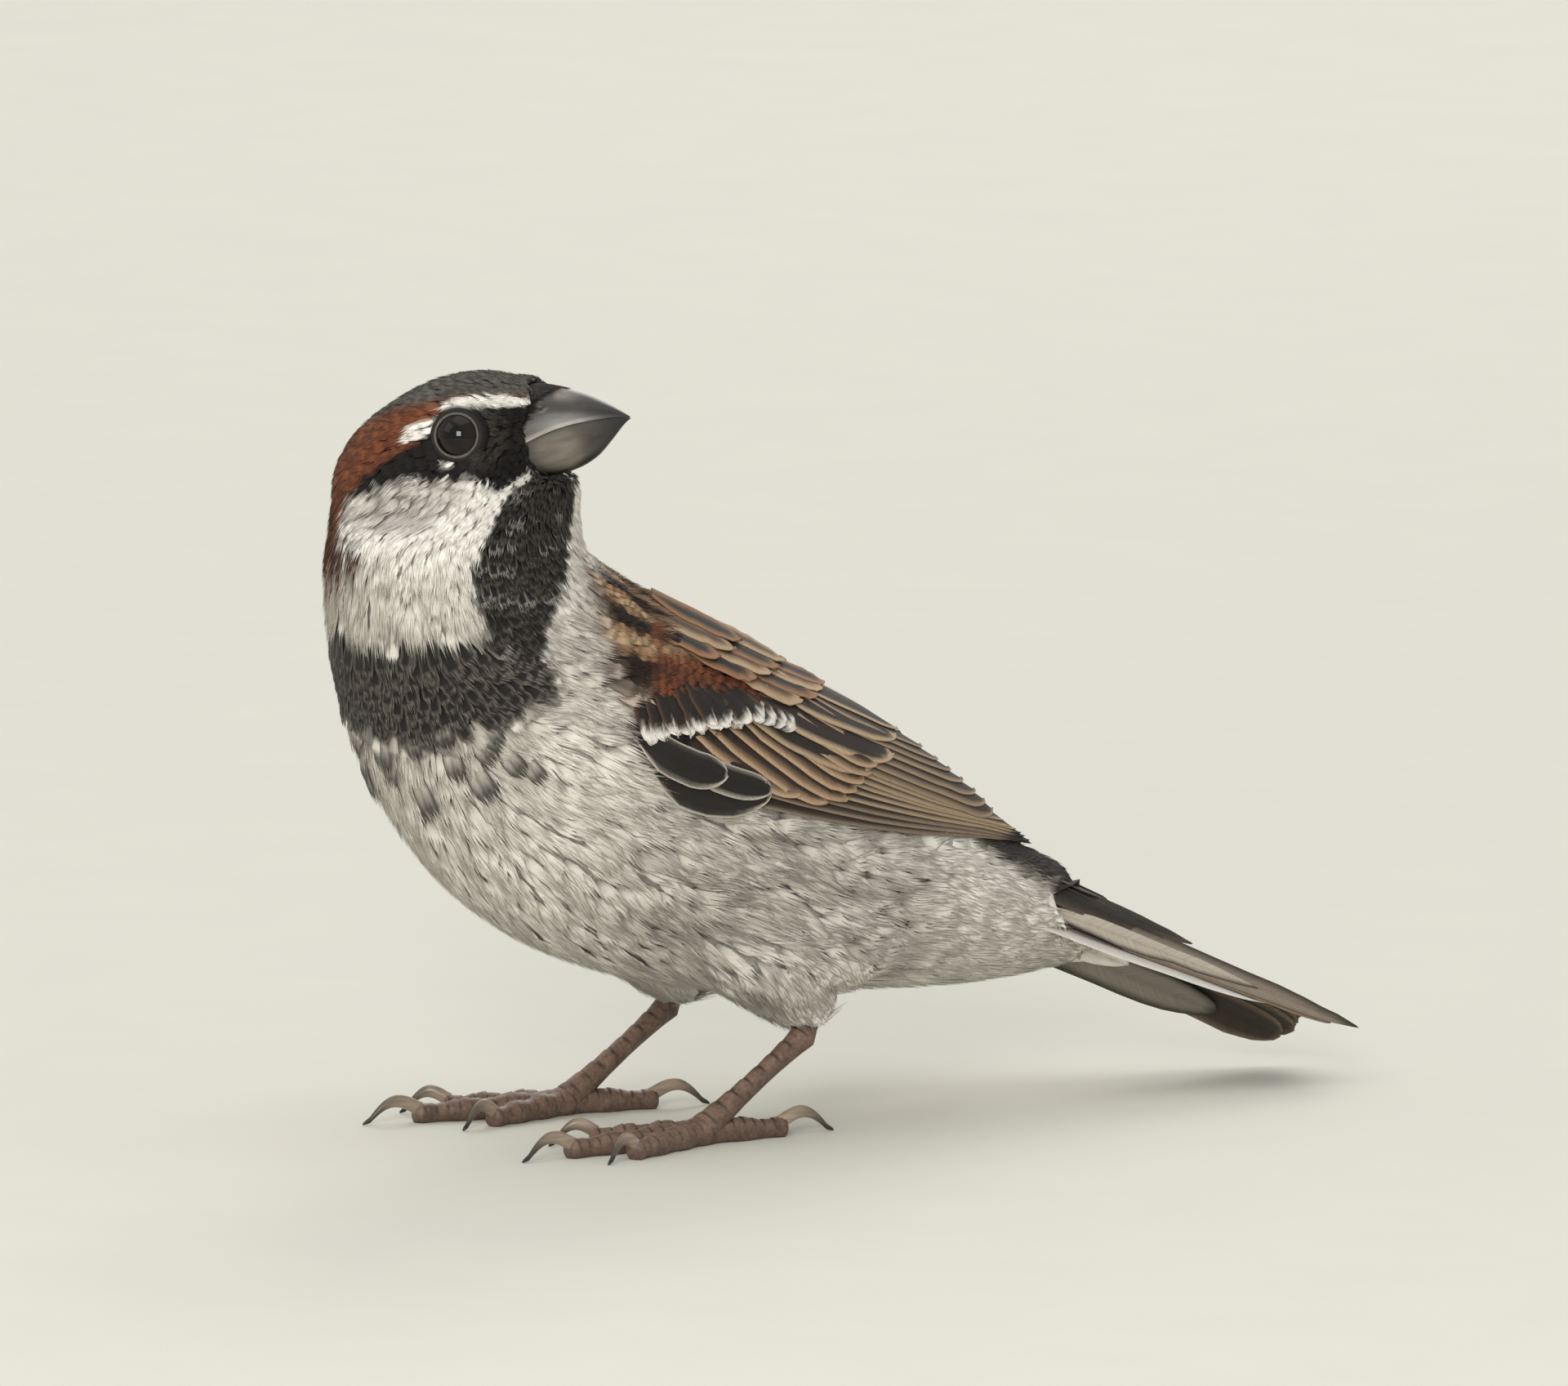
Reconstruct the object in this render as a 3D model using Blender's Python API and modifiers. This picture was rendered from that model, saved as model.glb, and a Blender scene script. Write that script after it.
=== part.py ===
"""A male house sparrow, life size, standing with its head turned over its left shoulder.

Blender 4.5. Run it with blender --background --python part.py, or from the text editor.

The bird faces -Y, its left side is +X and up is +Z. Lengths are written in millimetres and
turned into metres by mm(). The body is modelled whole and then parted with thin cuts.
"""

import math
from collections import namedtuple

import bmesh
import bpy
import numpy as np
from mathutils import Matrix, Vector


def mm(*lengths):
    """Millimetres to metres: one length, or the coordinates of a point."""
    return lengths[0] * 0.001 if len(lengths) == 1 else Vector(lengths) * 0.001


# Driving dimensions of the species, in millimetres.
EYE_RADIUS = 3.0
TARSUS_RADIUS = 1.2
SHANK_SWELL = (1.25, 1.12, 1.0, 0.95, 0.92, 0.95, 1.02, 1.2, 1.42)
THIGH_RADII = (6.6, 6.2, 5.6, 4.8, 3.9, 3.1, 2.4)
TOE_LENGTH = {"inner": 10.2, "middle": 15.6, "outer": 11.4, "hind": 8.2}
CLAW_LENGTH = {"inner": 5.4, "middle": 6.8, "outer": 5.6, "hind": 7.2}
TAIL_LENGTH = 57.0
WING_THICKNESS = 1.6
TAIL_THICKNESS = (3.2, 1.1)
TAIL_SHOWN = 0.36

# The stance: where the head and tail point, in degrees from the way the body faces.
HEAD_TURN = 127.0
HEAD_PITCH = 12.0
HEAD_CENTRE = (0.0, -24.4, 74.2)
FOOT_TURN = {"left": 0.0, "right": -14.0}
FOOT_SPREAD = 12.8
HEEL = (14.8, 11.8)
TOE_ANGLE = {"inner": -27.0, "middle": 0.0, "outer": 21.0, "hind": 178.0}
TOE_NEIGHBOURS = {
    "inner": ("middle",),
    "middle": ("inner", "outer"),
    "outer": ("middle",),
    "hind": (),
}
TAIL_ROOT = (-2.0, 33.0, 28.4)
TAIL_YAW = 14.0
TAIL_DROP = 23.0
TAIL_ROLL = 17.0

GAP = 0.3
MERGE = 0.005
BODY_VOXEL = 1.1
BODY_TRIANGLES = 2560

Section = namedtuple("Section", "y z wide up down")
# Body sections from under the tail to the top of the neck, each square to the spine.
BODY = (
    Section(66.5, 13.4, 2.6, 1.4, 1.5),
    Section(59.0, 16.8, 5.4, 4.8, 3.8),
    Section(51.0, 18.8, 8.4, 7.0, 6.2),
    Section(42.0, 21.0, 11.8, 8.8, 9.0),
    Section(28.0, 25.6, 16.2, 12.4, 13.2),
    Section(12.0, 31.3, 19.6, 17.2, 17.8),
    Section(-4.0, 38.8, 21.2, 19.8, 20.4),
    Section(-14.0, 47.0, 20.2, 18.0, 19.2),
    Section(-20.0, 56.0, 16.9, 14.9, 16.9),
    Section(-22.8, 64.0, 14.9, 13.4, 15.0),
    Section(-23.8, 70.0, 13.0, 11.6, 13.0),
)
# Head sections from the nape to the bill, in the head's own frame.
HEAD = (
    Section(12.0, -5.0, 2.0, 1.8, 2.0),
    Section(11.0, -4.2, 5.4, 3.6, 6.0),
    Section(8.2, -2.0, 8.5, 6.4, 8.4),
    Section(3.6, 0.0, 9.9, 8.0, 9.4),
    Section(-1.6, 0.2, 10.1, 9.2, 9.4),
    Section(-6.4, 0.4, 8.8, 8.9, 8.2),
    Section(-9.8, 1.0, 6.9, 7.5, 6.6),
    Section(-12.2, 1.4, 4.9, 5.7, 5.2),
    Section(-13.6, 1.5, 3.0, 3.8, 3.6),
)
EYE_PLACE = (6.4, -4.4, 2.7)

# The closing line of the bill and the four profiles that meet at its tip, against the
# distance forward from the head's centre.
BILL_REACH = (9.0, 12.0, 14.5, 16.8, 18.8, 20.3, 21.2)
BILL_MEET = (0.1, 1.0, 1.5, 1.6, 1.5, 1.3, 1.05)
BILL_TOP = (6.6, 6.2, 5.35, 4.3, 3.05, 1.95, 1.2)
BILL_FOOT = (-3.2, -3.6, -3.4, -2.5, -0.95, 0.35, 0.95)
BILL_WIDE = (4.2, 3.7, 3.1, 2.3, 1.4, 0.6, 0.12)

# The left wing as it lies folded: its lower and upper edges from the wrist to the tip.
WING_LOWER = (
    (19.2, -18.0, 44.5),
    (21.6, -8.0, 38.0),
    (21.2, 5.0, 34.6),
    (16.6, 23.0, 31.4),
    (9.8, 38.5, 29.2),
    (3.8, 48.2, 27.4),
)
WING_UPPER = (
    (14.0, -14.0, 55.6),
    (12.0, 0.0, 55.2),
    (8.8, 13.5, 50.0),
    (6.0, 27.0, 43.0),
    (4.2, 39.0, 35.0),
    (3.4, 48.6, 28.0),
)
WING_CROWN = (1.6, 4.0, 3.9, 2.8, 1.4, 0.2)


def clear_scene():
    for obj in list(bpy.data.objects):
        bpy.data.objects.remove(obj)


def collection(name):
    made = bpy.data.collections.new(name)
    bpy.context.scene.collection.children.link(made)
    return made


def material(name, colour, roughness):
    made = bpy.data.materials.new(name)
    made.use_nodes = True
    shader = made.node_tree.nodes["Principled BSDF"]
    shader.inputs["Base Color"].default_value = (*colour, 1.0)
    shader.inputs["Roughness"].default_value = roughness
    shader.inputs["Metallic"].default_value = 0.0
    return made


clear_scene()
BIRD = collection("house_sparrow")
CUTTERS = collection("cutters")
FINISH = {
    "cap": material("cap_grey", (0.16, 0.14, 0.13), 0.85),
    "neck": material("neck_white", (0.52, 0.49, 0.44), 0.85),
    "breast": material("breast_grey", (0.46, 0.42, 0.36), 0.9),
    "rump": material("rump_grey", (0.36, 0.31, 0.25), 0.9),
    "chestnut": material("covert_chestnut", (0.25, 0.09, 0.04), 0.8),
    "flight": material("flight_brown", (0.09, 0.06, 0.045), 0.7),
    "bill": material("bill_black", (0.03, 0.028, 0.03), 0.4),
    "eye": material("eye_dark", (0.012, 0.008, 0.006), 0.08),
    "leg": material("leg_brown", (0.22, 0.12, 0.08), 0.55),
    "claw": material("claw_brown", (0.09, 0.06, 0.05), 0.4),
}


def add(name, mesh, finish, group=BIRD):
    obj = bpy.data.objects.new(name, mesh)
    obj.data.materials.clear()
    obj.data.materials.append(FINISH[finish])
    group.objects.link(obj)
    return obj


def evaluated_mesh(obj):
    bpy.context.view_layer.update()
    graph = bpy.context.evaluated_depsgraph_get()
    return bpy.data.meshes.new_from_object(obj.evaluated_get(graph))


def apply_modifiers(obj):
    obj.data, old = evaluated_mesh(obj), obj.data
    obj.modifiers.clear()
    bpy.data.meshes.remove(old)
    return obj


def through(points, where):
    """The smooth curve through the points (Catmull-Rom), at where from 0 to 1 along them."""
    knots = [Vector(p) for p in points]
    place = where * (len(knots) - 1)
    i = min(max(math.floor(place), 0), len(knots) - 2)
    t = place - i
    before = knots[i - 1] if i else 2 * knots[0] - knots[1]
    after = knots[i + 2] if i + 2 < len(knots) else 2 * knots[-1] - knots[-2]
    start, end = knots[i], knots[i + 1]
    return 0.5 * (
        2 * start
        + (end - before) * t
        + (2 * before - 5 * start + 4 * end - after) * t * t
        + (3 * start - before - 3 * end + after) * t * t * t
    )


def sheet_of(function, across, along):
    """An open grid whose square from 0 to 1 is laid out in space by function(u, v)."""
    bm = bmesh.new()
    bmesh.ops.create_grid(bm, x_segments=across, y_segments=along, size=0.5)
    for vert in bm.verts:
        vert.co = function(vert.co.x + 0.5, vert.co.y + 0.5)
    return bm


def mesh_from(bm, name):
    mesh = bpy.data.meshes.new(name)
    bm.to_mesh(mesh)
    bm.free()
    return mesh


def loft(name, rings, finish, group=BIRD):
    """One closed body through rings of points, with the two end rings filled."""
    bm = bmesh.new()
    loops = [[bm.verts.new(point) for point in ring] for ring in rings]
    for lower, upper in zip(loops, loops[1:]):
        for i, vert in enumerate(lower):
            bm.faces.new((vert, lower[i - 1], upper[i - 1], upper[i]))
    bm.faces.new(loops[0])
    bm.faces.new(loops[-1])
    bmesh.ops.recalc_face_normals(bm, faces=bm.faces)
    return add(name, mesh_from(bm, name), finish, group)


def section_ring(section, back, count=28):
    """An egg-shaped ring square to back, the way from this section towards the tail."""
    rise = Vector((1, 0, 0)).cross(back).normalized()
    rise = -rise if rise.z < 0 else rise
    centre = Vector((0.0, section.y, section.z))
    ring = []
    for i in range(count):
        angle = 2 * math.pi * i / count
        height = section.up if math.cos(angle) > 0 else section.down
        aside = Vector((section.wide * math.sin(angle), 0, 0))
        ring.append(mm(*(centre + aside + rise * height * math.cos(angle))))
    return ring


def section_rings(sections, steps):
    """Rings along the smooth spine through the sections, steps of them to each span."""
    spans = (len(sections) - 1) * steps
    spine = [Vector((0, s.y, s.z)) for s in sections]
    widths = [Vector((s.wide, s.up, s.down)) for s in sections]
    rings = []
    for i in range(spans + 1):
        where = i / spans
        centre = through(spine, where)
        back = through(spine, where - 0.01) - through(spine, where + 0.01)
        size = through(widths, where)
        rings.append(section_ring(Section(centre.y, centre.z, *size), back))
    return rings


def head_frame():
    turn = Matrix.Rotation(math.radians(HEAD_TURN), 4, "Z")
    pitch = Matrix.Rotation(math.radians(-HEAD_PITCH), 4, "X")
    return Matrix.Translation(mm(*HEAD_CENTRE)) @ turn @ pitch


def ball(name, centre, radii, finish, group=BIRD, frame=None, detail=24):
    """An ellipsoid with its centre and radii in millimetres, set in a frame."""
    bm = bmesh.new()
    bmesh.ops.create_uvsphere(bm, u_segments=detail, v_segments=detail // 2, radius=1.0)
    place = Matrix.Translation(mm(*centre)) @ Matrix.Diagonal((*mm(*radii), 1.0))
    bm.transform(frame @ place if frame else place)
    return add(name, mesh_from(bm, name), finish, group)


def cut_by_plane(obj, point, normal, shift=0.0):
    """Keeps what lies on the normal's side of the plane moved along it, and closes the cut."""
    bm = bmesh.new()
    bm.from_mesh(obj.data)
    normal = Vector(normal).normalized()
    whole = bm.verts[:] + bm.edges[:] + bm.faces[:]
    cut = bmesh.ops.bisect_plane(
        bm,
        geom=whole,
        dist=1e-6,
        plane_co=mm(*point) + normal * mm(shift),
        plane_no=normal,
        clear_inner=True,
    )
    edges = [e for e in cut["geom_cut"] if isinstance(e, bmesh.types.BMEdge)]
    bmesh.ops.holes_fill(bm, edges=edges)
    bmesh.ops.triangulate(bm, faces=bm.faces)
    bm.to_mesh(obj.data)
    bm.free()
    return obj


def copy_of(obj, name, finish):
    return add(name, obj.data.copy(), finish)


def helper(obj):
    """Marks a cutter, which is not part of the bird."""
    obj.hide_render = True
    obj.display_type = "WIRE"
    return obj


def swollen(obj, by, name):
    """A cutter: the object grown by so many millimetres along its normals."""
    bm = bmesh.new()
    bm.from_mesh(evaluated_mesh(obj))
    bmesh.ops.remove_doubles(bm, verts=bm.verts, dist=1e-7)
    bm.normal_update()
    for vert, normal in [(v, v.normal.copy()) for v in bm.verts]:
        vert.co += normal * mm(by)
    return helper(add(name, mesh_from(bm, name), "leg", CUTTERS))


def settle(obj):
    """Merges the slivers that a cut leaves, and makes every face a triangle."""
    bm = bmesh.new()
    bm.from_mesh(obj.data)
    bmesh.ops.remove_doubles(bm, verts=bm.verts, dist=mm(MERGE))
    turn = math.radians(2.5)
    bmesh.ops.dissolve_limit(bm, angle_limit=turn, verts=bm.verts, edges=bm.edges)
    bmesh.ops.triangulate(bm, faces=bm.faces)
    bmesh.ops.dissolve_degenerate(bm, dist=mm(MERGE), edges=bm.edges)
    bmesh.ops.triangulate(bm, faces=bm.faces)
    bm.to_mesh(obj.data)
    bm.free()
    return obj


def carve(obj, *cutters):
    """Takes the cutters out of the object."""
    for cutter in cutters:
        modifier = obj.modifiers.new("carve", "BOOLEAN")
        modifier.operation = "DIFFERENCE"
        modifier.object = cutter
    return settle(apply_modifiers(obj))


def tube(name, points, radii, finish, around=5):
    """A round tube through the points, as thick at each as radii says, in millimetres."""
    curve = bpy.data.curves.new(name, "CURVE")
    curve.dimensions = "3D"
    curve.bevel_depth = mm(1.0)
    curve.bevel_resolution = around
    curve.use_fill_caps = True
    spline = curve.splines.new("POLY")
    spline.points.add(len(points) - 1)
    for knot, point, radius in zip(spline.points, points, radii):
        knot.co = (*mm(*point), 1.0)
        knot.radius = radius
    guide = bpy.data.objects.new(name, curve)
    BIRD.objects.link(guide)
    mesh = evaluated_mesh(guide)
    bpy.data.objects.remove(guide)
    bm = bmesh.new()
    bm.from_mesh(mesh)
    bmesh.ops.remove_doubles(bm, verts=bm.verts, dist=1e-6)
    bmesh.ops.recalc_face_normals(bm, faces=bm.faces)
    return add(name, mesh_from(bm, name), finish)


def whole_body():
    """Trunk, neck and head as one smooth closed surface."""
    body = loft("body", section_rings(BODY, 3), "breast")
    head = loft("head_block", section_rings(HEAD, 3), "cap")
    head.data.transform(head_frame())
    throat = ball("throat", (0, -5.0, -5.0), (7.6, 9.0, 6.6), "cap", frame=head_frame())
    blocks = [body, head, throat]
    for side in (-1, 1):
        cheek = (side * 5.2, -2.0, -3.0)
        blocks.append(ball("cheek", cheek, (5.2, 8.4, 6.0), "cap", frame=head_frame()))
        flank = (side * 10.8, 13.0, 22.2)
        blocks.append(ball("flank", flank, (8.2, 15.0, 8.6), "breast"))
    bm = bmesh.new()
    for block in blocks:
        bm.from_mesh(block.data)
        bpy.data.objects.remove(block)
    whole = add("whole", mesh_from(bm, "whole"), "breast")
    remesh = whole.modifiers.new("one_surface", "REMESH")
    remesh.mode = "VOXEL"
    remesh.voxel_size = mm(BODY_VOXEL)
    smooth = whole.modifiers.new("blend", "SMOOTH")
    smooth.factor = 0.5
    smooth.iterations = 8
    apply_modifiers(whole)
    fewer = whole.modifiers.new("fewer", "DECIMATE")
    fewer.ratio = min(1.0, BODY_TRIANGLES / (2 * len(whole.data.polygons)))
    fewer.use_collapse_triangulate = True
    return apply_modifiers(whole)


def bill(part):
    """One half of the bill, from inside the head to the tip, flat where the halves meet."""
    frame = head_frame()
    upper = part == "upper"
    profile = BILL_TOP if upper else BILL_FOOT
    rings = []
    for reach, meet, edge, wide in zip(BILL_REACH, BILL_MEET, profile, BILL_WIDE):
        meet += GAP / 2 if upper else -GAP / 2
        depth = max(edge - meet, 0.12) if upper else min(edge - meet, -0.12)
        ring = []
        for i in range(15):
            angle = math.pi * i / 14
            aside = wide * math.cos(angle) if 0 < i < 14 else math.copysign(wide, 7 - i)
            rise = depth * math.sin(angle) ** (0.9 if upper else 0.8)
            ring.append(frame @ mm(aside, -reach, meet + rise))
        rings.append(ring)
    return loft(f"bill_{part}", rings, "bill")


def wing_ring(along, grow):
    """A ring round the folded left wing, along 0 to 1 from its wrist to its tip."""
    low = through(WING_LOWER, along)
    high = through(WING_UPPER, along)
    crown = through([(height, 0, 0) for height in WING_CROWN], along).x
    chord = (high - low).normalized()
    run = through(WING_LOWER, along + 0.01) - through(WING_LOWER, along - 0.01)
    out = run.cross(chord).normalized()
    out = -out if out.x < 0 else out
    depth = WING_THICKNESS * (1 - 0.6 * min(max(along, 0.0), 1.0)) + 2 * grow
    outer = []
    for i in range(7):
        edge = (low - chord * grow).lerp(high + chord * grow, i / 6)
        outer.append(edge + out * (crown * math.sin(math.pi * i / 6) + grow))
    inner = [point - out * depth for point in reversed(outer)]
    return [mm(*point) for point in outer + inner]


def whole_wing(name, grow=0.0, group=BIRD):
    """The left wing as one slab, or the room it takes when it is grown all round."""
    wider = grow / 60.0
    rings = [wing_ring(i / 14 * (1 + 2 * wider) - wider, grow) for i in range(15)]
    return loft(name, rings, "flight", group)


def mirrored(obj, name, finish, group=BIRD):
    """The right-hand copy of a left-hand piece."""
    bm = bmesh.new()
    bm.from_mesh(obj.data)
    bmesh.ops.transform(bm, matrix=Matrix.Diagonal((-1, 1, 1, 1)), verts=bm.verts)
    bmesh.ops.reverse_faces(bm, faces=bm.faces)
    return add(name, mesh_from(bm, name), finish, group)


def wings():
    """Both wings, each parted into its coverts, its inner quills and its primaries."""
    wing = whole_wing("wing")
    across = ((0, 16.5, 36.0), (0, -0.94, 0.34))
    along = ((0, 16.5, 36.6), (0, 0.16, 0.99))
    half = GAP / 2
    coverts = copy_of(wing, "wing_coverts_left", "chestnut")
    cut_by_plane(coverts, across[0], across[1], half)
    quills = copy_of(wing, "wing_inner_quills_left", "flight")
    cut_by_plane(quills, across[0], -Vector(across[1]), half)
    cut_by_plane(quills, along[0], along[1], half)
    primaries = copy_of(wing, "wing_primaries_left", "flight")
    cut_by_plane(primaries, across[0], -Vector(across[1]), half)
    cut_by_plane(primaries, along[0], -Vector(along[1]), half)
    bpy.data.objects.remove(wing)
    for piece, finish in zip((coverts, quills, primaries), ("chestnut", "flight", "flight")):
        mirrored(piece, piece.name.replace("left", "right"), finish)


def tail_frame():
    yaw = Matrix.Rotation(math.radians(-TAIL_YAW), 4, "Z")
    drop = Matrix.Rotation(math.radians(-TAIL_DROP), 4, "X")
    roll = Matrix.Rotation(math.radians(-TAIL_ROLL), 4, "Y")
    return Matrix.Translation(mm(*TAIL_ROOT)) @ yaw @ drop @ roll


def tail(name, grow=0.0, group=BIRD):
    """The closed tail as one plate, low at its sides, with twelve quill tips and a notch."""
    frame = tail_frame()
    quills = 12

    def place(u, v):
        side = 2 * u - 1
        along = TAIL_SHOWN + (1 - TAIL_SHOWN) * v
        half = 4.4 + 2.6 * along + grow
        tips = 1.0 * abs(math.sin(quills / 2 * math.pi * u)) * v**6
        notch = 2.2 * (1 - abs(side)) * v**4
        length = TAIL_LENGTH * along - 1.0 + tips - notch + grow * (2 * v - 1)
        return frame @ mm(side * half, length, -0.3 * half * side * side)

    bm = sheet_of(place, 2 * quills, 8)
    bmesh.ops.recalc_face_normals(bm, faces=bm.faces)
    plate = add(name, mesh_from(bm, name), "flight", group)
    thick, thin = (size + 2 * grow for size in TAIL_THICKNESS)
    stack = plate.vertex_groups.new(name="stack")
    for vert in plate.data.vertices:
        along = (frame.inverted() @ vert.co).y / mm(TAIL_LENGTH)
        weight = (1 - along) / (1 - TAIL_SHOWN)
        stack.add([vert.index], min(max(weight, 0.0), 1.0), "REPLACE")
    solid = plate.modifiers.new("thickness", "SOLIDIFY")
    solid.thickness = mm(thick)
    solid.offset = 0.0
    solid.vertex_group = "stack"
    solid.thickness_vertex_group = thin / thick
    return apply_modifiers(plate)


def on_floor(obj):
    """Cuts the object flat where it stands."""
    return cut_by_plane(obj, (0, 0, 0), (0, 0, 1))


def toe_path(side, toe):
    """Where a toe starts and the way it points over the floor."""
    turn = FOOT_TURN["left" if side > 0 else "right"]
    angle = math.radians(turn + side * TOE_ANGLE[toe])
    way = Vector((math.sin(angle), -math.cos(angle), 0))
    joint = Vector((side * FOOT_SPREAD, 0.0, 0.0))
    return joint + way * (2.1 if toe != "hind" else 2.0), way


def toe(side, name, toe_name, shank_room):
    """A jointed toe that lies on the floor, thicker at its pads, and clear of its neighbours."""
    start, way = toe_path(side, toe_name)
    length = TOE_LENGTH[toe_name]
    pads = 2 if toe_name == "hind" else 3
    count = 3 * pads + 1
    points, radii = [], []
    for i in range(count):
        along = i / (count - 1)
        radius = 1.5 - 0.42 * along + 0.16 * math.cos(2 * math.pi * pads * along)
        points.append(start + way * length * along + Vector((0, 0, 1.26 - 0.36 * along)))
        radii.append(radius)
    made = on_floor(tube(f"toe_{toe_name}_{name}", points, radii, "leg", 1))
    cut_by_plane(made, start + way * length, -way, GAP / 2)
    joint = (side * FOOT_SPREAD, 0, 0)
    for beside in TOE_NEIGHBOURS[toe_name]:
        other = toe_path(side, beside)[1]
        cut_by_plane(made, joint, way - other, GAP / 2)
    return carve(made, shank_room)


def claw(side, name, toe_name):
    """A curved claw that rises from the toe's end and comes down to the floor."""
    start, way = toe_path(side, toe_name)
    root = start + way * (TOE_LENGTH[toe_name] - 0.6) + Vector((0, 0, 1.3))
    length = CLAW_LENGTH[toe_name]
    points, radii = [], []
    for i in range(7):
        along = i / 6
        rise = 1.25 * math.sin(math.pi * min(along * 1.15, 1.0)) - 1.15 * along**3
        points.append(root + way * length * along**0.92 + Vector((0, 0, rise)))
        radii.append(0.78 * (1 - along) ** 0.75 + 0.24)
    made = on_floor(tube(f"claw_{toe_name}_{name}", points, radii, "claw", 1))
    return cut_by_plane(made, start + way * TOE_LENGTH[toe_name], way, GAP / 2)


def leg(side, name, trunk):
    """One leg: its feathered thigh, shank, three toes forward and one back, and their claws."""
    heel = Vector((side * FOOT_SPREAD, *HEEL))
    sole = Vector((side * FOOT_SPREAD, 0.0, 1.7))
    shank_points = [heel.lerp(sole, i / 8) for i in range(9)]
    shank_radii = [TARSUS_RADIUS * swell for swell in SHANK_SWELL]
    shank = on_floor(tube(f"shank_{name}", shank_points, shank_radii, "leg", 2))
    shank_room = swollen(shank, GAP, f"cut_shank_{name}")
    hip = Vector((side * 10.8, 10.5, 19.0))
    knee_to_heel = heel - hip
    thigh_points = [hip + knee_to_heel * (i / 6) * 1.02 for i in range(7)]
    thigh = tube(f"thigh_{name}", thigh_points, THIGH_RADII, "breast", 4)
    carve(trunk, shank_room)
    carve(thigh, swollen(trunk, GAP, f"cut_trunk_{name}"), shank_room)
    for toe_name in TOE_LENGTH:
        toe(side, name, toe_name, shank_room)
        claw(side, name, toe_name)


def build():
    body = whole_body()
    wings()
    tail("tail")
    wing_room = helper(whole_wing("cut_wing_left", GAP, CUTTERS))
    other_wing_room = helper(mirrored(wing_room, "cut_wing_right", "flight", CUTTERS))
    tail_room = helper(tail("cut_tail", GAP, CUTTERS))
    upper, lower = bill("upper"), bill("lower")
    frame = head_frame()
    eyes = {}
    for side, name in ((1, "left"), (-1, "right")):
        place = (side * EYE_PLACE[0], *EYE_PLACE[1:])
        radii = (EYE_RADIUS,) * 3
        eyes[name] = ball(f"eye_{name}", place, radii, "eye", frame=frame, detail=16)

    neck_low = ((0, -18.6, 57.5), (0, -0.36, 0.93))
    neck_high = ((0, -24.0, 66.0), (0.05, 0.0, 1.0))
    rump_cut = ((0, 38.0, 23.0), (0, -0.92, 0.39))
    half = GAP / 2

    head = copy_of(body, "head", "cap")
    cut_by_plane(head, *neck_high, half)
    neck = copy_of(body, "neck", "neck")
    cut_by_plane(neck, neck_high[0], -Vector(neck_high[1]), half)
    cut_by_plane(neck, *neck_low, half)
    trunk = copy_of(body, "trunk", "breast")
    cut_by_plane(trunk, neck_low[0], -Vector(neck_low[1]), half)
    cut_by_plane(trunk, *rump_cut, half)
    rump = copy_of(body, "rump", "rump")
    cut_by_plane(rump, rump_cut[0], -Vector(rump_cut[1]), half)

    bill_room = [swollen(piece, GAP, f"cut_{piece.name}") for piece in (upper, lower)]
    eye_room = [swollen(piece, GAP, f"cut_{piece.name}") for piece in eyes.values()]
    carve(head, *bill_room, *eye_room)
    carve(trunk, wing_room, other_wing_room)
    carve(rump, wing_room, other_wing_room, tail_room)
    for side, name in ((1, "left"), (-1, "right")):
        leg(side, name, trunk)
    bpy.data.objects.remove(body)


def stand_on_origin():
    """Moves the whole bird so that the middle of its box's underside is the origin."""
    corners = np.array([v.co for obj in BIRD.objects for v in obj.data.vertices])
    low, high = corners.min(0), corners.max(0)
    middle = (low + high) / 2
    shift = Matrix.Translation((-middle[0], -middle[1], -low[2]))
    for obj in BIRD.objects:
        obj.data.transform(shift)


build()
stand_on_origin()
for piece in BIRD.objects:
    piece.data.shade_smooth()
    piece.data.set_sharp_from_angle(angle=math.radians(40))
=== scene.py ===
"""A male house sparrow, life size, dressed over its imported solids.

One skin takes the place of the nodes of flesh. Over it lie the contour feathers, then the
coverts and quills of the wings and tail. Bill, eyes, shanks, toes and claws are pieces of
their own. Lengths are in millimetres on the bird's own axes: it faces -Y, its left side is
+X, up is +Z, and place() turns them into the frame's metres.
"""

import itertools
import math

import bmesh
import bpy
import numpy as np
from mathutils import Matrix, Vector, noise
from mathutils.bvhtree import BVHTree
from mathutils.kdtree import KDTree


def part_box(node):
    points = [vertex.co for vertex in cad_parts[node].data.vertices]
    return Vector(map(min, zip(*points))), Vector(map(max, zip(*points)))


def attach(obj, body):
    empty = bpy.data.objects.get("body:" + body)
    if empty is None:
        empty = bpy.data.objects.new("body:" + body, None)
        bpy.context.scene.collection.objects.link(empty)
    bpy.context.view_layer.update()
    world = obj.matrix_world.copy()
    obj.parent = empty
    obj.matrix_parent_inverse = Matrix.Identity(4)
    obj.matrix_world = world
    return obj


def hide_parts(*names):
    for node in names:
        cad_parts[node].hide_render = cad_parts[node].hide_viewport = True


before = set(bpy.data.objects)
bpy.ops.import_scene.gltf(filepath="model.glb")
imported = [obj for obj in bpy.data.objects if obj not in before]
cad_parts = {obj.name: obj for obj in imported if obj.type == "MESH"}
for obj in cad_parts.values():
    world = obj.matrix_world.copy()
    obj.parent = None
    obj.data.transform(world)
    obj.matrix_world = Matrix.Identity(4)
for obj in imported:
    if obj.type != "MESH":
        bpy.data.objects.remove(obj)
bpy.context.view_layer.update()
RNG = np.random.default_rng(17)
MM = 1000  # millimetres to a metre

# ---------------------------------------------------------------- the bird's sizes
EYE_RADIUS = 3.0
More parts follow.
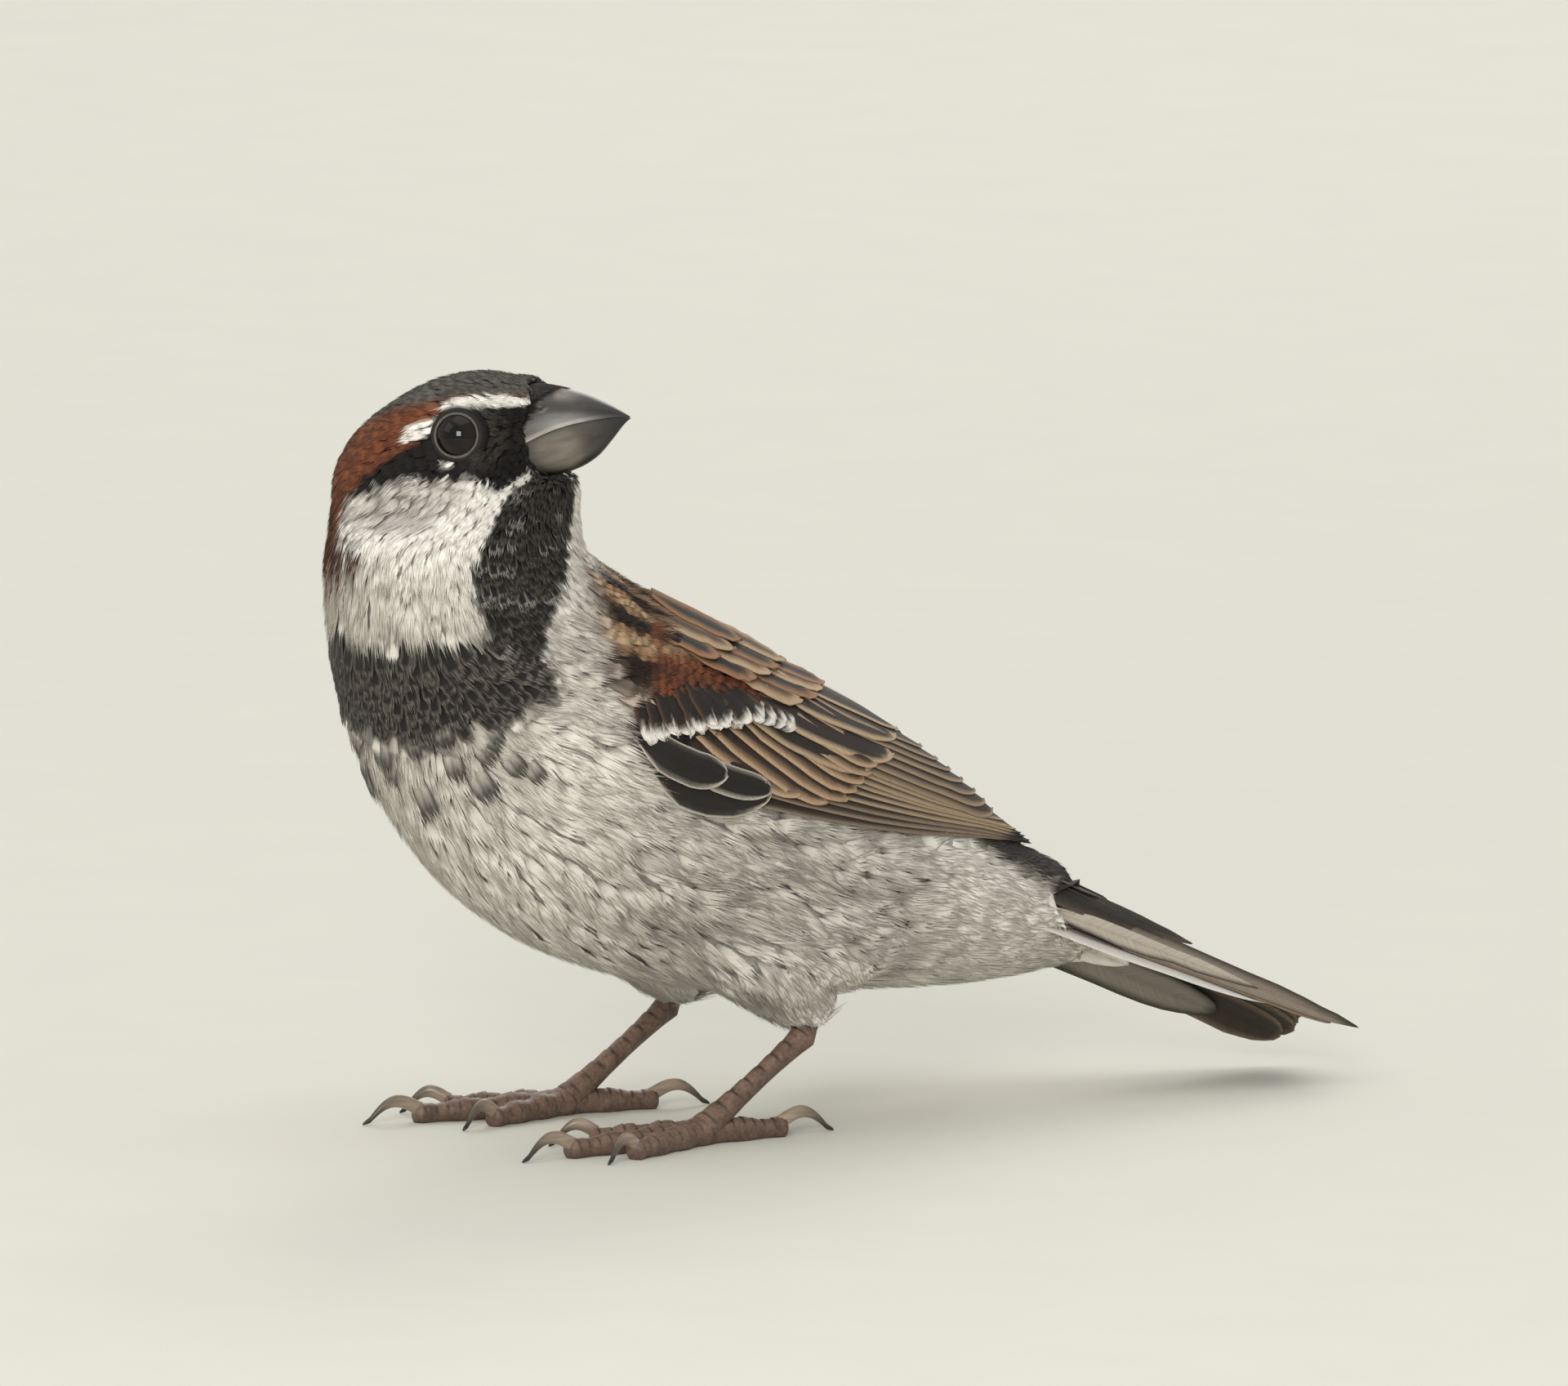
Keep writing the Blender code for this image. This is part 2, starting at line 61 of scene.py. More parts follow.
# The dish that each eye stands in: how far out, how soft its edge, and how high along the eye's axis.
DISH_REACH, DISH_EDGE, DISH_HIGH = 5.0, 1.9, 1.98
TARSUS_RADIUS = 1.2
TOE_LENGTH = {"inner": 10.2, "middle": 15.6, "outer": 11.4, "hind": 8.2}
CLAW_LENGTH = {"inner": 5.4, "middle": 6.8, "outer": 5.6, "hind": 7.2}
TOE_ANGLE = {"inner": -27.0, "middle": 0.0, "outer": 21.0, "hind": 178.0}
FOOT_TURN = {"left": 0.0, "right": -14.0}
FOOT_SPREAD = 12.8
HEEL = (14.8, 11.8)
TAIL_LENGTH = 57.0
TAIL_THICKNESS = (3.2, 1.1)
TAIL_ROOT = (-2.0, 33.0, 28.4)
TAIL_YAW, TAIL_DROP, TAIL_ROLL = 14.0, 23.0, 17.0
HEAD_TURN, HEAD_PITCH = 127.0, 12.0
HEAD_CENTRE = np.array((0.0, -24.4, 74.2))
EYE_PLACE = np.array((6.4, -4.4, 2.7))
BILL_REACH = (9.0, 12.0, 14.5, 16.8, 18.8, 20.3, 21.2)
BILL_MEET = (0.1, 1.0, 1.5, 1.6, 1.5, 1.3, 1.05)
BILL_TOP = (6.6, 6.2, 5.35, 4.3, 3.05, 1.95, 1.2)
BILL_FOOT = (-3.2, -3.6, -3.4, -2.5, -0.95, 0.35, 0.95)
BILL_WIDE = (4.2, 3.7, 3.1, 2.3, 1.4, 0.6, 0.12)
WING_LOWER = ((19.2, -18.0, 44.5), (21.6, -8.0, 38.0), (21.2, 5.0, 34.6),
              (16.6, 23.0, 31.4), (9.8, 38.5, 29.2), (3.8, 48.2, 27.4))
WING_UPPER = ((14.0, -14.0, 55.6), (12.0, 0.0, 55.2), (8.8, 13.5, 50.0),
              (6.0, 27.0, 43.0), (4.2, 39.0, 35.0), (3.4, 48.6, 28.0))
WING_CROWN = (1.6, 4.0, 3.9, 2.8, 1.4, 0.2)
WING_RUN = 68.0
# The line of the body from under the tail to the top of the neck: y, z.
SPINE = ((66.5, 13.4), (59, 16.8), (51, 18.8), (42, 21), (28, 25.6), (12, 31.3),
         (-4, 38.8), (-14, 47), (-20, 56), (-22.8, 64), (-23.8, 70))
CROWN = ((-22.0, 84.0),)
NECK_MIDDLE = (0, -20.0)
THROAT_AXIS = -23.5
BREAST_AXIS, BREAST_ROUND = -12.0, 22
HEAD_REACH = 15.5
NOSTRIL = (12.6, 4.3)
FLESH = ("head", "neck", "trunk", "rump", "thigh_left", "thigh_right")
WING_NODES = tuple(f"wing_{part}_{side}" for part in ("coverts", "inner_quills", "primaries")
                   for side in ("left", "right"))
SIDES = ((1, "left"), (-1, "right"))
UP = np.array((0, 0, 1.0))
# How far the solids are swollen so that they meet, in metres, and the grain of their remeshing.
FLESH_SWELL, SKIN_VOXEL = 0.00022, 0.62
# How deep the skin lies under the coat: on the head, and on the body.
COAT_DEPTH = (0.5, 1.0)
# How much deeper it lies than the feathers' roots, and how deep by the wings' tips.
SKIN_UNDER, SKIN_BY_TIPS = 0.25, 0.35
VANE_EDGE = 0.05
# Places tried for a feather's root, and the distances that roots keep from each other.
ROOT_TRIES = 130000
ROOT_STEPS = np.array((0.48, 0.56, 0.66, 0.78, 0.92, 1.08, 1.27, 1.5, 1.78))
BRISTLES = 1200
# How large a feather is on the skin's unwrap.
PATCH = 0.003

# ---------------------------------------------------------------- colours of the species
GREY_CAP = (0.108, 0.098, 0.086)
CHESTNUT = (0.190, 0.062, 0.027)
DARK_CHESTNUT = (0.105, 0.038, 0.020)
BLACK = (0.014, 0.012, 0.011)
SOOT = (0.030, 0.025, 0.022)
WHITE = (0.86, 0.83, 0.77)
CHEEK = (0.62, 0.59, 0.53)
ASH = (0.58, 0.545, 0.49)
BREAST = (0.76, 0.72, 0.655)
BELLY = (0.82, 0.785, 0.72)
BUFF = (0.42, 0.285, 0.165)
PALE_BUFF = (0.55, 0.43, 0.29)
MANTLE = (0.27, 0.150, 0.075)
RUMP = (0.20, 0.165, 0.125)
DUSK = (0.034, 0.028, 0.023)
DUSK_TIP = (0.09, 0.072, 0.057)
QUILL = (0.052, 0.039, 0.030)
LEG_SKIN = (0.165, 0.104, 0.076)


def rotation(axis, degrees):
    return np.array(Matrix.Rotation(math.radians(degrees), 3, axis))


def stance():
    """How far the frame's origin lies from the point between the bird's feet."""
    left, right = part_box("shank_left"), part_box("shank_right")
    across = (left[0].x + left[1].x + right[0].x + right[1].x) / 4 * MM
    along = (left[0].y + left[1].y) / 2 * MM - HEEL[0] / 2 + 0.03
    return np.array((across, along, 0.0))


SHIFT = stance()
HEAD_AXES = rotation("Z", HEAD_TURN) @ rotation("X", -HEAD_PITCH)
TAIL_AXES = rotation("Z", -TAIL_YAW) @ rotation("X", -TAIL_DROP) @ rotation("Y", -TAIL_ROLL)


def place(points):
    """Millimetres on the bird to metres in the frame."""
    return (np.asarray(points, float) + SHIFT) / MM


def in_head(points):
    return (np.asarray(points, float) - HEAD_CENTRE) @ HEAD_AXES


def from_head(points):
    return np.asarray(points, float) @ HEAD_AXES.T + HEAD_CENTRE


def unit(vectors):
    return vectors / np.maximum(np.linalg.norm(vectors, axis=-1, keepdims=True), 1e-9)


def soft(distance, edge):
    """0 outside a mark, 1 inside it, with an edge that wide."""
    t = np.clip(0.5 + np.asarray(distance, float) / (2 * edge), 0, 1)
    return t * t * (3 - 2 * t)


def through(knots, where):
    """The smooth curve through evenly spaced knots, at places from 0 to 1."""
    knots = np.asarray(knots, float)
    if knots.ndim == 1:
        knots = knots[:, None]
    last = len(knots) - 1
    padded = np.vstack([2 * knots[0] - knots[1], knots, 2 * knots[-1] - knots[-2]])
    x = np.asarray(where, float) * last
    i = np.clip(x.astype(int), 0, last - 1)
    f = (x - i)[..., None]
    p0, p1, p2, p3 = (padded[i + k] for k in range(4))
    return 0.5 * (2 * p1 + (p2 - p0) * f + (2 * p0 - 5 * p1 + 4 * p2 - p3) * f**2
                  + (3 * p1 - p0 - 3 * p2 + p3) * f**3)


def stroke(u, v, line):
    """How deep inside a brush stroke each place lies; line holds u, v and half width."""
    best = np.full(np.shape(u), -99.0)
    for (u0, v0, w0), (u1, v1, w1) in zip(line, line[1:]):
        length = (u1 - u0) ** 2 + (v1 - v0) ** 2
        t = np.clip(((u - u0) * (u1 - u0) + (v - v0) * (v1 - v0)) / length, 0, 1)
        away = np.hypot(u - u0 - t * (u1 - u0), v - v0 - t * (v1 - v0))
        best = np.maximum(best, w0 + (w1 - w0) * t - away)
    return best


def mottle(points, scale, seed=0):
    """Soft noise from -1 to 1 at each place."""
    offset = Vector((seed * 7.3, seed * 3.1, seed * 5.7))
    return np.array([noise.noise(Vector(p) / scale + offset) for p in points])


def blend(low, high, share):
    """Colours on their way from one to the other."""
    share = np.asarray(share)[:, None]
    return np.asarray(low) * (1 - share) + np.asarray(high) * share


def read(mesh, key):
    found = np.empty(len(mesh.vertices) * 3)
    mesh.vertices.foreach_get(key, found)
    return found.reshape(-1, 3)


def on_bird(mesh):
    """A mesh's points, in millimetres on the bird."""
    return read(mesh, "co") * MM - SHIFT


def vert_in_head(vert):
    return in_head((np.array(vert.co) * MM - SHIFT)[None])[0]


# ---------------------------------------------------------------- making pieces
def new_piece(name, mesh, finish):
    made = bpy.data.objects.new(name, mesh)
    bpy.context.scene.collection.objects.link(made)
    mesh.materials.clear()
    mesh.materials.append(finish)
    return made


def mesh_of_arrays(name, points, loops, sizes):
    """One mesh from joined arrays: points, the corners of all faces, corners in each face."""
    mesh = bpy.data.meshes.new(name)
    mesh.vertices.add(len(points))
    mesh.vertices.foreach_set("co", np.asarray(points, np.float32).ravel())
    mesh.loops.add(len(loops))
    mesh.loops.foreach_set("vertex_index", np.asarray(loops, np.int32))
    mesh.polygons.add(len(sizes))
    starts = np.concatenate([[0], np.cumsum(sizes)[:-1]])
    mesh.polygons.foreach_set("loop_start", starts.astype(np.int32))
    mesh.update(calc_edges=True)
    return mesh


def paint(mesh, colours):
    """Keeps a colour at each corner point of the mesh, for the materials to read."""
    layer = mesh.attributes.new("coat_colour", "FLOAT_COLOR", "POINT")
    full = np.ones((len(mesh.vertices), 4), np.float32)
    full[:, :3] = np.clip(colours, 0, 1)
    layer.data.foreach_set("color", full.ravel())


def add_uv(mesh, name, places):
    mesh.uv_layers.new(name=name).data.foreach_set("uv", np.asarray(places, np.float32).ravel())


def bmesh_to_mesh(bm, name):
    mesh = bpy.data.meshes.new(name)
    bm.to_mesh(mesh)
    bm.free()
    return mesh


def smooth_mesh(bm, name):
    mesh = bmesh_to_mesh(bm, name)
    mesh.shade_smooth()
    return mesh


def join_model(made, slot, *replaced):
    """Gives a piece its body, and hides the nodes that it stands for. The slot is not used."""
    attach(made, "root")
    if replaced:
        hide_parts(*replaced)


# ---------------------------------------------------------------- materials
class Finish:
    """A material in the making, from nodes that are joined as they are added."""

    def __init__(self, name):
        self.made = bpy.data.materials.new(name)
        self.made.use_nodes = True
        self.tree = self.made.node_tree

    def fill(self, node, values, given=()):
        """Sets a node's options and inputs, by name or in order: a value, or what to join there."""
        for key, value in (*values.items(), *enumerate(given)):
            if isinstance(value, bpy.types.Node):
                value = value.outputs[0]
            if isinstance(key, str) and key not in node.inputs:
                setattr(node, key, value)
            elif isinstance(value, bpy.types.NodeSocket):
                self.tree.links.new(value, node.inputs[key])
            else:
                node.inputs[key].default_value = value
        return node

    def add(self, kind, *given, **values):
        return self.fill(self.tree.nodes.new("ShaderNode" + kind), values, given)

    def math(self, operation, *given):
        return self.add("Math", *given, operation=operation)

    def here(self):
        return self.add("TexCoord").outputs["Object"]

    def shader(self, values):
        self.fill(self.tree.nodes["Principled BSDF"], values)
        return self.made

    def painted(self, shade, values):
        """Shades the colours that the mesh is painted with, and sets the shader's values."""
        colour = self.add("Attribute", attribute_name="coat_colour")
        tone = self.add("VectorMath", colour, operation="SCALE", Scale=shade)
        return self.shader({"Base Color": tone, **values})


def feather_finish(name, barb=0.28, sheen=0.04, roughness=0.78, streaks=0.22, relief=0.02):
    """Vane of a feather: its own colour, fine barbs that slant from the shaft, and down."""
    new = Finish(name)
    lies = new.add("UVMap", uv_map="Vane")
    across, along = new.add("SeparateXYZ", lies).outputs[:2]
    slant = new.math("MULTIPLY_ADD", new.math("ABSOLUTE", across), -1.3, along)
    drift = new.add("TexNoise", Vector=lies, Scale=0.55, Detail=2.0)
    wander = new.math("MULTIPLY_ADD", drift, 0.9, slant)
    wave = new.math("SINE", new.math("MULTIPLY", wander, 2 * math.pi / barb))
    lane = new.add("CombineXYZ", slant, new.math("MULTIPLY", along, 0.12))
    tufts = new.add("TexNoise", Vector=lane, Scale=2.6, Detail=3.0)
    shade = new.math("MULTIPLY_ADD", tufts, 2 * streaks, 1 - streaks)
    bump = new.add("Bump", Height=wave, Strength=0.5, Distance=relief / MM)
    return new.painted(new.math("MULTIPLY_ADD", wave, 0.07, shade),
                       {"Normal": bump, "Roughness": roughness, "Specular IOR Level": 0.16,
                        "Sheen Weight": sheen, "Sheen Roughness": 0.5})


def skin_finish():
    """Down and skin between the feathers, in the colours of the coat over it."""
    new = Finish("down_and_skin")
    fluff = new.add("TexNoise", Vector=new.here(), Scale=2600.0, Detail=4.0)
    bump = new.add("Bump", Height=fluff, Strength=0.6, Distance=0.0002)
    return new.painted(new.math("MULTIPLY_ADD", fluff, 0.8, 0.45),
                       {"Normal": bump, "Roughness": 0.85, "Specular IOR Level": 0.2})


def horn_finish(name, axis, roughness=0.36, grain=900.0):
    """Horn of bill and claw in the colours it is painted with, with fibres along an axis."""
    new = Finish(name)
    here = new.here()
    along = new.add("VectorMath", here, axis, operation="DOT_PRODUCT").outputs["Value"]
    stretch = new.add("VectorMath", axis, operation="SCALE", Scale=new.math("MULTIPLY", along, -0.9))
    narrow = new.add("VectorMath", here, stretch, operation="ADD")
    fibre = new.add("TexNoise", Vector=narrow, Scale=grain, Detail=6.0, Distortion=0.2)
    bump = new.add("Bump", Height=fibre, Strength=0.3, Distance=0.00014)
    return new.painted(new.math("MULTIPLY_ADD", fibre, 1.5, 0.25),
                       {"Normal": bump, "Roughness": roughness, "Specular IOR Level": 0.35,
                        "Coat Weight": 0.12, "Coat Roughness": 0.25})


def leg_finish():
    """Scaled skin of the shanks and toes: brown plates with darker seams and fine cells."""
    new = Finish("leg_scale")
    cells = new.add("TexVoronoi", Vector=new.here(), Scale=2300.0, Randomness=0.9)
    stain = new.add("TexNoise", Vector=new.here(), Scale=700.0, Detail=4.0)
    both = new.math("MULTIPLY_ADD", cells, -0.5, stain)
    bump = new.add("Bump", Height=cells, Strength=0.35, Distance=0.00010, invert=True)
    return new.painted(new.math("MULTIPLY_ADD", both, 1.2, 0.65),
                       {"Normal": bump, "Roughness": 0.48, "Specular IOR Level": 0.4})


def eye_finish():
    """A dark brown iris round a black pupil, under a wet, glossy cornea."""
    new = Finish("eye_wet")
    threads = new.add("TexNoise", Vector=new.here(), Scale=2200.0, Detail=3.0)
    return new.painted(new.math("MULTIPLY_ADD", threads, 1.0, 0.5),
                       {"Roughness": 0.2, "Specular IOR Level": 0.0, "Coat Weight": 1.0,
                        "Coat Roughness": 0.02, "Coat IOR": 1.38})


def floor_finish():
    """Plain sheet with a faint tooth."""
    new = Finish("studio_sheet")
    ramp = new.add("ValToRGB", new.add("TexNoise", Vector=new.here(), Scale=60.0, Detail=5.0))
    for stop, tone in zip(ramp.color_ramp.elements, ((0.66, 0.650, 0.590, 1), (0.695, 0.685, 0.620, 1))):
        stop.color = tone
    return new.shader({"Base Color": ramp, "Roughness": 0.9})


COAT = feather_finish("contour_feather")
FACE_COAT = feather_finish("face_feather", barb=0.2, streaks=0.25, relief=0.01)
QUILLS = feather_finish("quill_feather", barb=0.34, sheen=0.03, roughness=0.6,
                        streaks=0.28, relief=0.03)
LEG = leg_finish()


# ---------------------------------------------------------------- the surface of the coat
def flesh_surface():
    """The solids of flesh and wing swollen until they meet, remeshed as one closed body."""
    bm = bmesh.new()
    for name in FLESH + WING_NODES:
        part = bmesh.new()
        part.from_mesh(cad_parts[name].data)
        bmesh.ops.remove_doubles(part, verts=part.verts, dist=1e-6)
        part.normal_update()
        for vert in part.verts:
            vert.co += vert.normal * FLESH_SWELL
        joined = bpy.data.meshes.new("part")
        part.to_mesh(joined)
        part.free()
        bm.from_mesh(joined)
        bpy.data.meshes.remove(joined)
    body = bpy.data.objects.new("body", bmesh_to_mesh(bm, "body"))
    bpy.context.scene.collection.objects.link(body)
    voxels = body.modifiers.new("one_body", "REMESH")
    voxels.mode = "VOXEL"
    voxels.voxel_size = SKIN_VOXEL / MM
    even = body.modifiers.new("even", "SMOOTH")
    even.factor = 0.5
    even.iterations = 7
    graph = bpy.context.evaluated_depsgraph_get()
    mesh = bpy.data.meshes.new_from_object(body.evaluated_get(graph))
    bpy.data.objects.remove(body)
    return mesh


def eye_axis(side):
    """Which way an eye looks, in the head's frame: out, a little forward and up."""
    return unit(np.array((side * 1.0, -0.10, 0.16)))


def round_eye(q, side):
    """How far each place in the head's frame lies from an eye's axis, and along it."""
    off = q - EYE_PLACE * (side, 1, 1)
    rise = off @ eye_axis(side)
    return np.linalg.norm(off - rise[:, None] * eye_axis(side), axis=1), rise


def dish_eyes(points):
    """Sinks the coat towards each eyelid, so that the ball stands out of a shallow dish."""
    q = in_head(points)
    for side in (-1, 1):
        r, rise = round_eye(q, side)
        near = (rise > 0) * soft(DISH_REACH - r, DISH_EDGE)
        q = q + eye_axis(side) * (near * np.minimum(DISH_HIGH - rise, 0))[:, None]
    return from_head(q)


def slim(points):
    """Draws the coat in where the bird is slimmer than its solids: crown, hind neck and rump."""
    q = in_head(points)
    # Round the head's middle, in degrees from the bill over the crown to the nape.
    turn = np.degrees(np.arctan2(q[:, 2], -q[:, 1])) % 360
    reach = np.hypot(q[:, 1], q[:, 2])
    pull = np.interp(turn, (16, 25, 31, 35, 38, 42, 50, 57, 66, 77, 90, 130, 170, 205),
                     (0, -0.3, -0.45, -0.15, 0.3, 0.32, 0.2, 0.27, 0.45, 0.5, 0.4, 0.8, 0.65, 0))
    pull = pull * soft(reach - 7.5, 2) * soft(points[:, 2] - 66, 4)
    q[:, 1:] *= (1 - pull / np.maximum(reach, 1))[:, None]
    # Beside the root of the bill.
    q[:, 1] += 1.6 * soft(-q[:, 1] - 7.8, 2.4) * soft(3.2 - q[:, 2], 1.6) * soft(q[:, 2] + 3.3, 0.9)
    p = from_head(q)
    # The hollow of the hind neck.
    off = p[:, :2] - NECK_MIDDLE
    wide = np.hypot(*off.T)
    around = np.degrees(np.arctan2(off[:, 1], off[:, 0]))
    hollow = 1.6 * np.exp(-((around - 55) / 36) ** 2 - ((p[:, 2] - 64.6) / 2.3) ** 2)
    p[:, :2] = NECK_MIDDLE + off * (1 - hollow / np.maximum(wide, 1))[:, None]
    # The end of the rump: shorter, narrower and sunk into the root of the tail.
    tail = (p - TAIL_ROOT) @ TAIL_AXES
    late = soft(tail[:, 1] - 24.4, 2.6)
    tail[:, 1] -= 0.66 * np.maximum(tail[:, 1] - 26.5, 0)
    near, far = tail[:, 0] > 0, tail[:, 0] < 0
    tail[:, 0] *= 1 - 0.4 * soft(tail[:, 1] - 29, 4) * near - 0.5 * soft(tail[:, 1] - 25, 4) * far
    tail[:, 2] += (np.minimum(tail[:, 2], -1.0) - tail[:, 2]) * late
    return tail @ TAIL_AXES.T + TAIL_ROOT


BODY_MESH = flesh_surface()
COAT_POINTS = dish_eyes(slim(on_bird(BODY_MESH)))
BODY_MESH.vertices.foreach_set("co", place(COAT_POINTS).ravel())
BODY_MESH.update()
COAT_NORMALS = read(BODY_MESH, "normal")
COAT_FACES = [tuple(face.vertices) for face in BODY_MESH.polygons]
COAT_TREE = BVHTree.FromPolygons(COAT_POINTS.tolist(), COAT_FACES)


def settle_on_coat(points):
    """The nearest places on the coat's surface, and which way is out there."""
    found, out = np.empty_like(points), np.empty_like(points)
    for i, point in enumerate(points):
        near, _, face, _ = COAT_TREE.find_nearest(Vector(point))
        found[i] = near
        weights = 1 / (np.linalg.norm(COAT_POINTS[list(COAT_FACES[face])] - near, axis=1) + 0.05)
        out[i] = weights @ COAT_NORMALS[list(COAT_FACES[face])]
    return found, unit(out)


# ---------------------------------------------------------------- the folded wing as a chart
def wing_point(along, up, side=1):
    """A place on the outer face of the folded wing, along and up from 0 to 1."""
    along, up = np.asarray(along, float), np.asarray(up, float)
    low, high = through(WING_LOWER, along), through(WING_UPPER, along)
    crown = through(WING_CROWN, along)
    run = through(WING_LOWER, along + 0.01) - through(WING_LOWER, along - 0.01)
    out = unit(np.cross(run, unit(high - low)))
    out = out * np.sign(out[..., :1])
    made = low + (high - low) * up[..., None] + out * crown * np.sin(math.pi * up)[..., None]
    return made * (side, 1, 1)


def wing_height(along):
    return np.linalg.norm(through(WING_UPPER, along) - through(WING_LOWER, along), axis=-1)


CHART = np.array([(a, b) for a in np.linspace(0, 1, 86) for b in np.linspace(0, 1, 32)])
CHART_TREE = KDTree(len(CHART))
for number, spot in enumerate(wing_point(*CHART.T)):
    CHART_TREE.insert(Vector(spot), number)
CHART_TREE.balance()


def on_wing(points):
    """Along, up and distance of each place from the nearer wing's outer face."""
    found = np.empty((len(points), 3))
    for i, (x, y, z) in enumerate(points):
        _, number, away = CHART_TREE.find(Vector((abs(x), y, z)))
        found[i] = (*CHART[number], away)
    return found


def bar_line(along):
    """How far up the wing the row of white tips crosses it."""
    return np.interp(along, (0, 0.12, 0.21, 0.29, 0.36, 0.41, 0.47, 0.52),
                     (0.2, 0.29, 0.41, 0.47, 0.50, 0.56, 0.78, 1.1))


# ---------------------------------------------------------------- markings
def neck_turn(points):
    """Degrees round the neck from straight ahead towards the bird's left."""
    return np.degrees(np.arctan2(points[:, 0], -(points[:, 1] - THROAT_AXIS)))


def breast_turn(points):
    return np.degrees(np.arctan2(points[:, 0], -(points[:, 1] - BREAST_AXIS)))


def turn_between(angle, other):
    return (angle - other + 180) % 360 - 180


class Coat:
    """Colour and kind of every feather or patch of skin: ground, tip, and how it is marked."""

    def __init__(self, points):
        count = len(points)
        self.ground = np.tile(BREAST, (count, 1)).astype(float)
        self.tip = np.tile(BELLY, (count, 1)).astype(float)
        self.fringe = np.full(count, 0.35)
        self.shaft = np.full(count, 0.12)
        self.whole = np.zeros(count)

    def lay(self, where, ground=None, tip=None, fringe=None, shaft=None, whole=None):
        where = np.clip(where, 0, 1)
        for name, value in (("ground", ground), ("tip", tip)):
            if value is not None:
                kept = getattr(self, name)
                kept += (np.asarray(value) - kept) * where[:, None]
        for name, value in (("fringe", fringe), ("shaft", shaft), ("whole", whole)):
            if value is not None:
                kept = getattr(self, name)
                kept += (value - kept) * where


